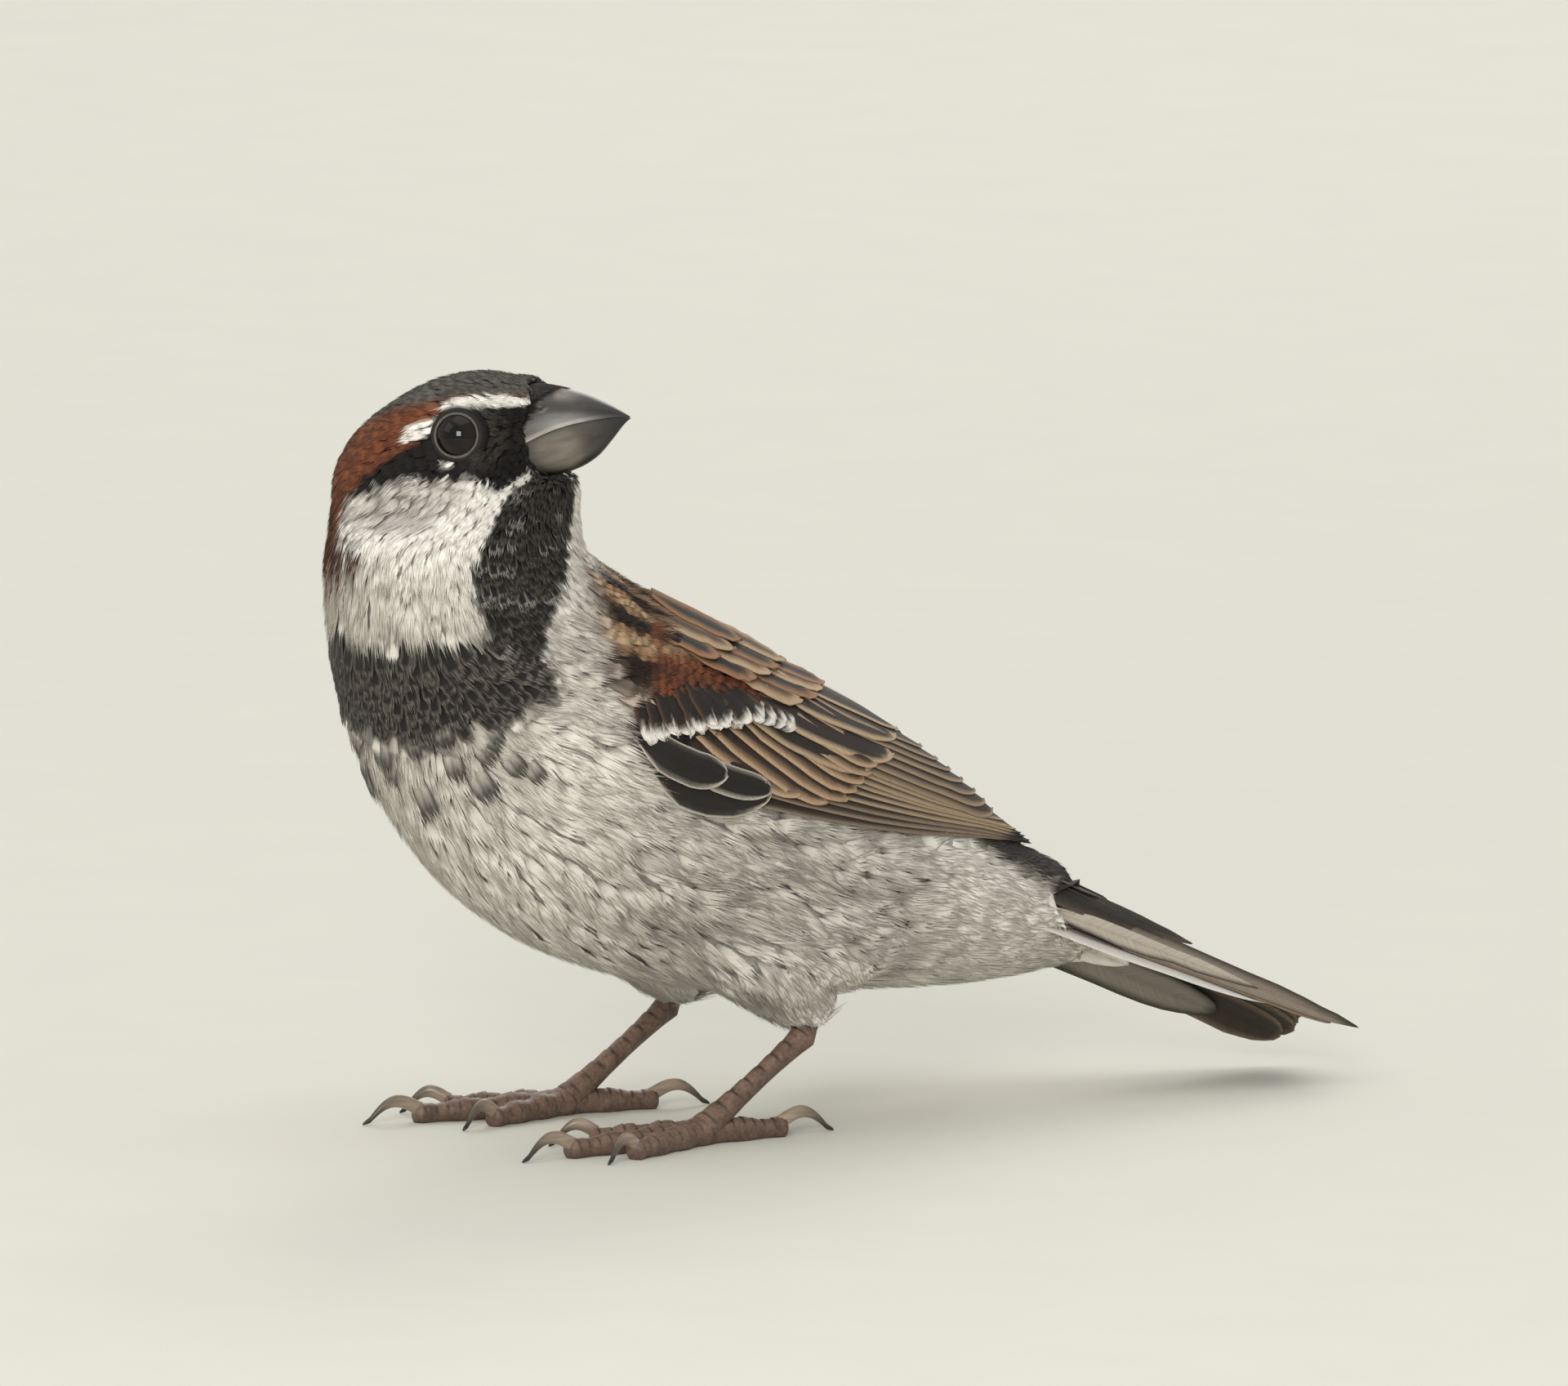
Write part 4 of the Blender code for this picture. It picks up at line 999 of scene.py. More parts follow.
# Broad feathers below the breast's plate, whose black ends are a painted shadow at each tip: degrees round
# it, height, size.
SCALLOPS = ((2, 42.3, 1.0), (13, 43.6, 0.9), (24, 44.7, 0.9), (35, 44.4, 0.85), (3, 39.8, 0.8),
            (26, 41.6, 0.85), (34, 42.5, 0.85), (42, 41.0, 0.85), (49, 40.7, 0.7), (11, 36.0, 1.15),
            (32, 37.7, 1.15), (-12, 42.4, 0.9), (-24, 44.5, 0.9), (-37, 44.6, 0.8), (-17, 39.4, 0.9),
            (-30, 41.2, 0.8), (-42, 42.0, 0.8), (-22, 36.6, 1.1))


def grow_coat():
    spots, gauge = feather_roots()
    q = in_head(spots)
    along, up, away = on_wing(spots).T
    keep = np.ones(len(spots), bool)
    # Bare where the eyes and the bill are, and where quills and coverts lie.
    for side in (-1, 1):
        keep &= np.linalg.norm(q - EYE_PLACE * (side, 1, 1), axis=1) > EYE_RADIUS + 0.14
    keep &= ~((away < 1.4) & (up > 0.06) & (up < bar_line(along) + 0.02) & (along > 0.10))
    keep &= ~((away < 1.0) & (along > 0.42) & (up > 0.06))
    tail = (spots - TAIL_ROOT) @ TAIL_AXES
    keep &= ~((tail[:, 1] > 24) & (tail[:, 2] > -0.4))
    # None whose tip would ride up over the quills, or that faces straight down its own lie.
    _, out = settle_on_coat(spots)
    flow, slope = lie(spots, out)
    ahead = on_wing(settle_on_coat(spots + flow * (gauge * 3.2)[:, None])[0])
    rides_up = (ahead[:, 2] < 0.8) & (ahead[:, 1] > 0.09) & (ahead[:, 1] < 0.5)
    keep &= ~(rides_up & (along > 0.13) & (up <= 0.06))
    keep &= ~((slope > 0.72) & ((spots[:, 1] > 50) | (spots[:, 2] < 16)))
    spots, gauge, flow, q, along, up, away, tail = (
        v[keep] for v in (spots, gauge, flow, q, along, up, away, tail))
    x, y, z = spots.T
    body = np.linalg.norm(q, axis=1) >= HEAD_REACH
    front, high = -q[:, 1] > 3.0, q[:, 2] > 0.5
    wing = (away < 1.2) & (along > 0.05) & (up > 0.1) & ((along > 0.16) | (up > 0.4))
    above_tail = tail[:, 2] > -0.2
    pattern = markings(spots + flow * (gauge * 2.7)[:, None], crisp=4.0)
    regions = {
        "face": ~body & front,
        "crown": ~body & ~front & high,
        "cheeks": ~body & ~front & ~high,
        "lesser_coverts": body & wing,
        "bib": body & ~wing & (pattern.whole > 0.4) & (y < -10),
        "throat": body & ~wing & (z > 55),
        "thighs": (z < 17.5) & (np.abs(x) > 6.5) & (y > -1) & (y < 21),
        "uppertail": ~wing & (y > 38) & above_tail,
        "rump": ~wing & (y > 20) & above_tail,
        "undertail": ~wing & (y > 26) & ~above_tail,
        "mantle": body & ~wing & (y > -14) & (z > np.interp(y, (-14, 0, 13.5, 27), (52, 50, 45, 38))),
        "breast": body & ~wing & (y <= -6),
        "flanks": body & ~wing & (np.abs(x) > 8),
        "belly": body,
    }
    left_over = np.ones(len(spots), bool)
    for name, where in regions.items():
        chosen = where & left_over
        left_over &= ~where
        if not chosen.any():
            continue
        look = REGION_LOOKS[name]
        over_wing = soft(0.12 - along[chosen], 0.03) * soft(2.2 - away[chosen], 0.6)
        over_wing = over_wing * soft(bar_line(along[chosen]) + 0.1 - up[chosen], 0.1)
        hem = soft(15.5 - z[chosen], 2.0) if name == "thighs" else 0
        grow_feathers(f"coat_{name}", spots[chosen], gauge[chosen], look,
                      long=look[2] * (1 + 0.25 * over_wing + 0.9 * hem),
                      lift=look[4] + 0.5 * over_wing + 0.3 * hem)
    turn, end, size = np.array(SCALLOPS).T
    turn = np.radians(turn)
    roots = np.column_stack([BREAST_ROUND * np.sin(turn), BREAST_AXIS - BREAST_ROUND * np.cos(turn),
                             end + 4.4 * size])
    # Grey grounds darkened to the breast in shade, and near-black ends: painted shade, and a painted shadow
    # at each tip.
    grow_feathers("coat_scallops", settle_on_coat(roots)[0], size,
                  (COAT, "body", 5.6, 1.35, 0.24, 0.7, 0.8, 0.03, 0.66),
                  dress=((0.50, 0.465, 0.41), (0.012, 0.010, 0.008), 1.0, 0.4, 0.97))


# ---------------------------------------------------------------- the skin
# A lid from the ball outwards: distance from the eye's axis, height along it, and shade.
LID = ((2.10, 2.02, 0.02), (2.18, 2.10, 0.05), (2.26, 2.16, 0.13), (2.34, 2.17, 0.18), (2.42, 2.13, 0.11),
       (2.49, 2.05, 0.03), (2.55, 2.01, 0.018), (2.63, 2.03, 0.034), (2.72, 2.01, 0.026), (2.82, 1.93, 0.018),
       (3.00, 1.75, 0.02), (3.30, 1.40, 0.02))


def join_lids(bm, side):
    """Adds one eye's lid: a soft lip against the ball, and two finer folds round it."""
    look = eye_axis(side)
    fore = unit(np.array((0, -1.0, 0)) - look * (-look[1]))
    over = np.cross(look, fore)
    rings = []
    for r, rise, _ in LID:
        ring = []
        for turn in np.linspace(0, 2 * math.pi, 97)[:-1]:
            wide = r * (1 + 0.025 * math.cos(2 * turn)) + 0.02 * math.sin(5 * turn + side)
            high = rise + 0.02 * math.sin(31 * turn) * (r > 2.2) + 0.03 * math.sin(3 * turn + 1) * (r > 2.4)
            out = (fore * math.cos(turn) + over * math.sin(turn)) * wide
            ring.append(bm.verts.new(place(from_head(EYE_PLACE * (side, 1, 1) + out + look * high))))
        for k in range(len(ring) if rings else 0):
            bm.faces.new((rings[-1][k - 1], rings[-1][k], ring[k], ring[k - 1]))
        rings.append(ring)
    bm.faces.new(rings[0])
    bm.faces.new(rings[-1][::-1])


def make_skin():
    """One closed skin a coat's depth under the surface, with the lids raised round the eyes."""
    bm = bmesh.new()
    bm.from_mesh(BODY_MESH)
    depth = skin_depth(COAT_POINTS) + SKIN_UNDER
    ab = on_wing(COAT_POINTS)
    tip = soft(ab[:, 0] - 0.62, 0.1) * soft(1.6 - ab[:, 2], 0.4)
    depth = depth * (1 - tip) + SKIN_BY_TIPS * tip
    for vert, down in zip(bm.verts, depth):
        vert.co -= vert.normal * float(down) / MM
    bmesh.ops.smooth_vert(bm, verts=bm.verts, factor=0.5, use_axis_x=True, use_axis_y=True, use_axis_z=True)
    # Round the eyes it dips behind the balls.
    for vert in bm.verts:
        q = vert_in_head(vert)
        if abs(q[0]) < 3:
            continue
        side = math.copysign(1, q[0])
        r, rise = (float(v[0]) for v in round_eye(q[None], side))
        if rise < -1.5 or r > 3.5:
            continue
        under = math.sqrt(max(EYE_RADIUS**2 - r * r, 0.0)) - 0.5
        under = under + (rise - under) * float(soft(r - 2.85, 0.35))
        vert.co = place(from_head(q + eye_axis(side) * (min(under, rise) - rise)))
    for side in (-1, 1):
        join_lids(bm, side)
    bmesh.ops.recalc_face_normals(bm, faces=bm.faces)
    mesh = smooth_mesh(bm, "skin")
    points = on_bird(mesh)
    colours = markings(points).ground * 0.8
    q = in_head(points)
    for side in (-1, 1):
        r, rise = round_eye(q, side)
        ring = soft(3.0 - r, 0.12) * (rise > 0)
        fold = np.interp(r, [at for at, _, _ in LID], [shade for _, _, shade in LID])
        colours += (fold[:, None] * np.array((1.0, 0.9, 0.8)) - colours) * ring[:, None]
    paint(mesh, colours)
    join_model(new_piece("skin", mesh, skin_finish()), "body", *FLESH)


# ---------------------------------------------------------------- quills of wing and tail
VANE_ROWS = np.array((0.0, 0.1, 0.2, 0.3, 0.4, 0.5, 0.6, 0.7, 0.78, 0.85, 0.9, 0.94, 0.97, 0.99, 1.0))
VANE_COLS = np.array((-1.0, -0.88, -0.62, -0.3, -0.05, 0.05, 0.3, 0.62, 0.88, 1.0))
VANE_POINTS = len(VANE_ROWS) * len(VANE_COLS)
# Where the tip's curve starts along the vane, and two powers of that curve.
VANE_KINDS = {"round": (0.72, 2.0, 0.5), "broad": (0.8, 2.4, 0.5), "narrow": (0.5, 2.0, 0.75)}


def vane_outline(kind):
    """Half width along a vane, 0 root to 1 tip: rounded for coverts, narrow for primaries."""
    start, bend, close = VANE_KINDS[kind]
    end = np.clip((VANE_ROWS - start) / (1 - start), 0, 1)
    tip = np.clip(1 - end**bend, 0, 1) ** close
    return np.clip(0.45 + VANE_ROWS * 1.6, 0, 1) * np.maximum(tip, 0.02)


def vane_faces():
    """Corners of one closed vane's faces, underside and rims first, and where its top starts."""
    n, m, low = len(VANE_ROWS), len(VANE_COLS), VANE_POINTS
    cells = np.array([i * m + j for i in range(n - 1) for j in range(m - 1)])[:, None]
    rims = []
    for i in range(n - 1):
        rims += [i * m + np.array((0, low, m + low, m)), i * m + m - 1 + np.array((0, m, m + low, low))]
    for j in range(m - 1):
        rims += [j + np.array((0, 1, 1 + low, low)), (n - 1) * m + j + np.array((0, low, 1 + low, 1))]
    faces = np.concatenate([cells + low + (0, 1, m + 1, m), rims, cells + (0, m, m + 1, 1)])
    return faces, len(faces) - len(cells)


VANE_FACES, VANE_TOP = vane_faces()


class QuillBed:
    """Gathers the vanes of one piece, then joins them."""

    def __init__(self, name):
        self.name, self.points, self.shades, self.vanes = name, [], [], []

    def add(self, surface, root, tip, half, kind="round", bow=0.0, lift=(0.1, 0.12), tilt=0.2,
            thick=0.16, ground=QUILL, edge=WHITE, rim=(0.5, 0.4), end=0.1, end_colour=None,
            shaft=0.25, blur=0.22, ragged=0.015, end_long=0.0, sink=0.0):
        """One vane on a chart of the wing or tail, from root to tip in millimetres on it."""
        root, tip = np.asarray(root, float), np.asarray(tip, float)
        length = np.linalg.norm(tip - root)
        way = (tip - root) / length
        across = np.array((way[1], -way[0])) * -1
        width = half * vane_outline(kind)
        if sink:
            width = width * np.clip(VANE_ROWS / 0.36, 0.08, 1)
        nicks = 1 + RNG.normal(0, ragged, (len(VANE_ROWS), 2))
        torn = 1 + RNG.normal(0, ragged * 2.0, len(VANE_COLS))
        crown = 0.10 * (1 - np.abs(VANE_COLS)) * half * 0.3
        rows, colours = [], []
        for k, t in enumerate(VANE_ROWS):
            middle = root + way * length * t + across * bow * math.sin(math.pi * t)
            wide = np.where(VANE_COLS < 0, width[k] * nicks[k, 0], width[k] * nicks[k, 1])
            flat = middle + across * (VANE_COLS * wide)[:, None]
            flat = flat + way * ((torn - 1) * half * np.clip((t - 0.6) / 0.4, 0, 1))[:, None]
            at, out = surface(flat)
            high = lift[0] + (lift[1] - lift[0]) * t - tilt * VANE_COLS + crown
            high = high - sink * max(0.0, 1 - t / 0.4)
            rows.append(at + out * high[:, None])
            left = (1 - t) * length
            outer = soft(rim[0] - (1 + VANE_COLS) * wide, blur)
            inner = soft(rim[1] - (1 - VANE_COLS) * wide, blur)
            pale = np.maximum(outer, inner)
            pale = np.maximum(pale, soft(end * half * torn - left, max(0.3, blur)))
            tinted = blend(ground, edge, pale)
            if end_colour is not None:
                last = soft(end * half * 2.2 * torn**3 + end_long - left, 0.5 + 0.4 * end_long)
                tinted = blend(tinted, end_colour, last)
            line = np.maximum(0, 1 - np.abs(VANE_COLS) * 8)
            colours.append(tinted * (1 - shaft * line)[:, None])
        top = np.array(rows)
        outs = unit(np.cross(np.gradient(top, axis=0), np.gradient(top, axis=1)))
        _, guide = surface(np.array([root + way * length * 0.35]))
        facing = np.sign((outs[5, 5] * guide[0]).sum())
        body = np.full(top.shape[:2], thick)
        body[:, 0] = body[:, -1] = body[-1] = VANE_EDGE
        bottom = top - outs * facing * body[..., None]
        self.points.append(np.concatenate([top.reshape(-1, 3), bottom.reshape(-1, 3)]))
        shade = np.array(colours).reshape(-1, 3) * (1 + RNG.normal(0, 0.05))
        # The underside is painted at three quarters of the top: a painted shade.
        self.shades.append(np.concatenate([shade, shade * 0.75]))
        self.vanes.append((half, length, VANE_FACES if facing < 0 else VANE_FACES[:, ::-1]))

    def finish(self, slot, *replaced):
        grid = np.array([(v, t) for t in VANE_ROWS for v in VANE_COLS] * 2)
        below = (np.arange(len(VANE_FACES)) < VANE_TOP).repeat(4)
        count = len(self.vanes)
        loops, vane, bake = [], [], []
        for number, (half, length, faces) in enumerate(self.vanes):
            loops.append(faces + number * 2 * VANE_POINTS)
            drawn = grid[faces.ravel()]
            vane.append(np.column_stack([drawn[:, 0] * half, drawn[:, 1] * length + number * 5.3]))
            shelf = (number + 0.5 + drawn[:, 0] * 0.36) / count
            bake.append(np.column_stack([np.where(below, 0.76, 0.02)
                                         + drawn[:, 1] * np.where(below, 0.2, 0.7), shelf]))
        mesh = mesh_of_arrays(self.name, place(np.concatenate(self.points)), np.array(loops).ravel(),
                              np.full(count * len(VANE_FACES), 4))
        paint(mesh, np.concatenate(self.shades))
        add_uv(mesh, "Vane", np.concatenate(vane))
        add_uv(mesh, "OFBake", np.concatenate(bake))
        smooth = np.tile(np.arange(len(VANE_FACES)) >= VANE_TOP, count)
        mesh.polygons.foreach_set("use_smooth", smooth)
        join_model(new_piece(self.name, mesh, QUILLS), slot, *replaced)


def wing_surface(side):
    def surface(flat):
        flat = np.atleast_2d(flat)
        along = flat[:, 0] / WING_RUN
        up = flat[:, 1] / wing_height(along)
        step = 0.004
        run = wing_point(along + step, up, side) - wing_point(along - step, up, side)
        rise = wing_point(along, up + step, side) - wing_point(along, up - step, side)
        out = unit(np.cross(run, rise))
        return wing_point(along, up, side), out * np.sign(out[:, :1] * side)
    return surface


def on_chart(along, up):
    """Along and up from 0 to 1, as millimetres on the wing's chart."""
    return np.array((along * WING_RUN, up * float(wing_height(np.array(along)))))


# Flight feathers, the outermost first: the tip along and up the wing, half width, dark end.
FLIGHT = ((1.0, 0.55, 1.35, 7.0), (1.015, 0.7, 1.35, 9.0), (1.005, 0.62, 1.4, 8.0),
          (0.985, 0.55, 1.45, 5.0), (0.965, 0.5, 1.5, 3.0), (0.94, 0.46, 1.6, 0), (0.90, 0.36, 1.7, 0),
          (0.872, 0.4, 1.75, 0), (0.835, 0.5, 2.15, 0), (0.815, 0.6, 2.15, 0), (0.795, 0.70, 2.15, 0),
          (0.77, 0.79, 2.15, 0), (0.745, 0.86, 2.15, 0), (0.72, 0.91, 2.15, 0), (0.69, 0.96, 2.15, 0))
PRIMARIES, MEDIANS = 8, 13
# Roots and tips on the wing, along and up; with the half width, and more where they differ.
TERTIALS = (((0.27, 0.50), (0.515, 0.40), 2.3), ((0.29, 0.60), (0.56, 0.52), 2.6),
            ((0.31, 0.74), (0.59, 0.74), 2.9), ((0.34, 0.90), (0.63, 0.94), 2.5))
BASTARD_WING = (((0.06, 0.14), (0.342, 0.135), 2.1, -0.8, 0.52, 0.1),
                ((0.12, 0.24), (0.338, 0.155), 1.45, -0.3, 0.74, 0.12),
                ((0.03, 0.26), (0.240, 0.18), 1.75, -0.5, 0.94, 0.12))
GREATER = (((0.10, 0.36), (0.325, 0.195)), ((0.13, 0.42), (0.395, 0.165)),
           ((0.16, 0.46), (0.445, 0.155)), ((0.19, 0.50), (0.478, 0.185)),
           ((0.22, 0.53), (0.492, 0.235)), ((0.25, 0.56), (0.502, 0.29)),
           ((0.28, 0.58), (0.512, 0.345)), ((0.31, 0.60), (0.52, 0.40)))
SCAPULARS = (((0.47, 0.97), (0.445, 0.86), (0.415, 0.75), (0.375, 0.66)),
             ((0.38, 0.99), (0.35, 0.88), (0.32, 0.79), (0.28, 0.71)),
             ((0.28, 0.98), (0.25, 0.88), (0.21, 0.80)))


def make_wing(side, name):
    surface = wing_surface(side)
    primaries, inner = QuillBed(f"primaries_{name}"), QuillBed(f"secondaries_{name}")
    # The far wing's tips lie a little lower.
    highest = (0.84, 0.86) if side < 0 else (1.0, 1.0)
    for i, (along, up, half, dark) in enumerate(FLIGHT):
        outer = i < PRIMARIES
        (primaries if outer else inner).add(
            surface, on_chart(0.33 + 0.004 * i, 0.105 + 0.050 * i), on_chart(along, min(up, highest[0])),
            half, "narrow" if outer else "broad", bow=0.5 - 0.06 * i,
            lift=(0.1 + 0.012 * i, 0.16 + 0.028 * i), tilt=0.26, thick=0.14,
            ground=QUILL if i > 5 else (0.036, 0.028, 0.023),
            edge=(0.42, 0.31, 0.20) if i > 2 else (0.24, 0.18, 0.13), rim=(0.28, 0.1), end=0.08,
            end_colour=(0.022, 0.018, 0.015) if dark else None, end_long=dark)
    primaries.finish("flight", f"wing_primaries_{name}")
    # Tertials: broad, black hearts and wide pale edges.
    for root, (along, up), half in TERTIALS:
        inner.add(surface, on_chart(*root), on_chart(along, min(up, highest[1])), half, bow=0.3,
                  lift=(0.25, 0.58), tilt=0.24, thick=0.18, ground=(0.030, 0.022, 0.018),
                  edge=(0.46, 0.34, 0.215), rim=(0.62, 0.6), end=0.34)
    inner.finish("flight", f"wing_inner_quills_{name}")
    coverts = QuillBed(f"coverts_{name}")
    # Primary coverts and the bastard wing: black with thin white rims.
    for root, tip, half, bow, high, tilt in BASTARD_WING:
        coverts.add(surface, on_chart(*root), on_chart(*tip), half, bow=bow, lift=(high, high), tilt=tilt,
                    ground=(0.020, 0.017, 0.015), edge=(0.60, 0.54, 0.46), rim=(0.17, 0.14), end=0.09,
                    blur=0.1, sink=1.4)
    # Greater coverts, each below and outside the next.
    for i, (root, tip) in enumerate(GREATER):
        coverts.add(surface, on_chart(*root), on_chart(*tip), 1.55, bow=0.35,
                    lift=(-0.1, 0.50 + 0.04 * i), ground=(0.036, 0.024, 0.018),
                    edge=(0.46, 0.31, 0.19), rim=(0.5, 0.35), end=0.34, blur=0.4, ragged=0.03)
    # Median coverts: black with white tips, the wing bar.
    for i in range(MEDIANS):
        along = 0.085 + 0.0225 * i + RNG.normal(0, 0.002)
        up = float(bar_line(along)) - 0.02 + RNG.normal(0, 0.012)
        slope = math.radians(64 - 2.9 * i)
        tip = on_chart(along, up)
        root = tip - np.array((math.cos(slope), -math.sin(slope))) * RNG.uniform(5.6, 6.6)
        coverts.add(surface, root, tip, 1.5, lift=(-0.2, 0.86), tilt=0.12, ground=(0.020, 0.016, 0.014),
                    edge=(0.085, 0.045, 0.028), rim=(0.3, 0.3), end=0.26,
                    end_colour=(0.80, 0.76, 0.69), blur=0.35, ragged=0.06)
    coverts.finish("covert", f"wing_coverts_{name}")
    # Scapulars: streaked black and buff, over the roots of the tertials.
    scapulars = QuillBed(f"scapulars_{name}")
    slope = np.array((math.cos(0.25), -math.sin(0.25)))
    for r, row in enumerate(SCAPULARS):
        for i, (along, up) in enumerate(row):
            tip = on_chart(along, up)
            looks = (dict(ground=BLACK, edge=(0.30, 0.16, 0.08), rim=(0.8, 0.8)) if (i + r) % 2 == 0 else
                     dict(ground=(0.085, 0.042, 0.024), edge=(0.44, 0.31, 0.185), rim=(1.1, 0.9)))
            scapulars.add(surface, tip - slope * 11.0, tip, 1.9, lift=(0.0, 0.70 + 0.05 * r), tilt=0.16,
                          thick=0.18, end=0.6, blur=0.75, ragged=0.06, **looks)
    scapulars.finish("covert")


def tail_half(long):
    return 4.4 + 2.6 * (long / TAIL_LENGTH)


def tail_surface(depth, face=1):
    """The chart of the tail's plate at a depth from its top, 0, to its underside, 1."""
    def surface(flat):
        side, long = np.atleast_2d(flat).T
        half = tail_half(long)
        thick = (TAIL_THICKNESS[0] + (TAIL_THICKNESS[1] - TAIL_THICKNESS[0])
                 * np.clip((long / TAIL_LENGTH - 0.36) / 0.64, 0, 1))
        drop = -0.3 * half * (side / half) ** 2
        local = np.column_stack([side, long - 1.0, drop + thick * (0.5 - depth)])
        out = np.tile(TAIL_AXES[:, 2], (len(side), 1)) + (0.25 * side / half)[:, None] * TAIL_AXES[:, 0]
        return local @ TAIL_AXES.T + TAIL_ROOT, face * unit(out)
    return surface


def tail_side(flat):
    """The chart of the tail's near edge: across it from below to above, and along it."""
    across, long = np.atleast_2d(flat).T
    half = tail_half(long)
    local = np.column_stack([half + 0.35 - 0.12 * across**2, long - 1.0, across - 0.3 * half])
    out = np.tile(TAIL_AXES[:, 0], (len(across), 1)) + (0.24 * across)[:, None] * TAIL_AXES[:, 2]
    return local @ TAIL_AXES.T + TAIL_ROOT, unit(out)


def make_tail():
    bed = QuillBed("rectrices")
    # The outer feathers of the near side, folded down over the edges of the rest.
    bed.add(tail_side, (0.15, 12.0), (0.0, 58.4), 1.55, "narrow", lift=(0.1, 0.05), tilt=0.05, thick=0.14,
            sink=2.4, ground=(0.24, 0.20, 0.16), edge=(0.034, 0.027, 0.022), rim=(0.55, -2.0), blur=0.7,
            ragged=0.05)
    bed.add(tail_side, (-0.45, 12.0), (-0.1, 46.0), 0.95, "narrow", lift=(0.25, 0.2), tilt=0.05, thick=0.14,
            sink=2.4, ground=(0.46, 0.41, 0.34), edge=(0.035, 0.028, 0.022), rim=(-2.0, 0.22), blur=0.3,
            ragged=0.06)
    for pair in range(5, -1, -1):
        for side in (-1, 1):
            far = TAIL_LENGTH - 1.4 + 0.32 * pair - (1.2 if pair == 5 else 0)
            bed.add(tail_surface(0.08 + 0.16 * pair), (side * (0.5 + 0.45 * pair), 18.0),
                    (side * (0.9 + 1.02 * pair), far), 2.5 if pair else 2.3, "broad", bow=0.3 * side,
                    lift=(0.0, 0.0), tilt=-0.12 * side, ground=(0.060, 0.047, 0.036),
                    edge=(0.25, 0.185, 0.125), rim=(0.32, 0.32), end=0.14)
    bed.finish("flight", "tail")
    over = QuillBed("uppertail_coverts")
    dusky = dict(tilt=0.05, thick=0.14, edge=(0.10, 0.080, 0.062), blur=0.5, ragged=0.04)
    for i, (aside, far) in enumerate(((-3.6, 35.5), (-1.3, 37.0), (3.4, 36.5), (1.1, 38.0), (-3.4, 27.0),
                                      (3.6, 27.2), (-1.8, 27.8), (1.9, 27.9), (0.0, 28.4))):
        over.add(tail_surface(-0.38 - 0.03 * i), (0.7 * aside, 6.0), (aside, far), 2.3,
                 lift=(0.0, -0.5 if i < 4 else -0.1), ground=(0.026, 0.021, 0.018), rim=(0.4, 0.4),
                 end=0.3, sink=1.2, **dusky)
    for across, far, half in ((2.9, 37.5, 1.1), (2.2, 34.0, 1.3)):
        over.add(tail_side, (across, 9.0), (across - 0.9, far), half, "narrow", lift=(0.1, 0.1),
                 ground=DUSK, rim=(-2.0, 0.3), end=0.2, sink=1.4, **dusky)
    over.finish("rump")
    under = QuillBed("undertail_coverts")
    # A short feather of the far side shows its underside below the rest: grey-brown, with dark rims and end
    # that are painted shade.
    under.add(tail_surface(1.0, -1), (-3.0, 12.0), (-5.2, 47.5), 2.8, lift=(0.2, 0.35), tilt=0.05,
              thick=0.14, ground=(0.24, 0.215, 0.18), edge=(0.040, 0.033, 0.028), rim=(0.6, 0.6), end=0.4,
              blur=0.6)
    for i, (aside, start, to, far) in enumerate((
            (4.9, 14, 5.9, 48), (4.0, 14, 5.0, 44), (-3.0, 14, -3.6, 31), (3.0, 14, 3.8, 31),
            (-2.0, 15, -2.4, 34.5), (2.0, 15, 2.6, 35), (-1.0, 16, -1.1, 37.5), (1.0, 16, 1.4, 39),
            (-2.6, 12, -2.9, 27), (2.6, 12, 3.0, 27), (0.0, 12, 0.2, 30))):
        under.add(tail_surface(1.05, -1), (aside, start), (to, far), 2.3, lift=(0.2, 0.18 + 0.07 * (i % 6)),
                  tilt=0.05, thick=0.14, ground=(0.72, 0.68, 0.61), rim=(0.9, 0.9), end=0.5, shaft=0.3)
    under.finish("rump")


# ---------------------------------------------------------------- bill, eyes, legs
def loft_rings(rings):
    """Bridges closed rings of points, in millimetres, into a tube with its ends closed."""
    bm = bmesh.new()
    made = []
    for ring in rings:
        verts = [bm.verts.new(place(point)) for point in ring]
        made.append([bm.edges.new((a, b)) for a, b in zip(verts, verts[1:] + verts[:1])])
    for low, high in zip(made, made[1:]):
        bmesh.ops.bridge_loops(bm, edges=low + high)
    for loop in (made[0], made[-1]):
        bmesh.ops.contextual_create(bm, geom=loop)
    bmesh.ops.recalc_face_normals(bm, faces=bm.faces)
    return bm


def bill_section(upper, s):
    """Where the two halves meet, the outer edge and the half width, from root 0 to tip 1."""
    return (float(through(row, s)[0]) for row in (BILL_MEET, BILL_TOP if upper else BILL_FOOT, BILL_WIDE))


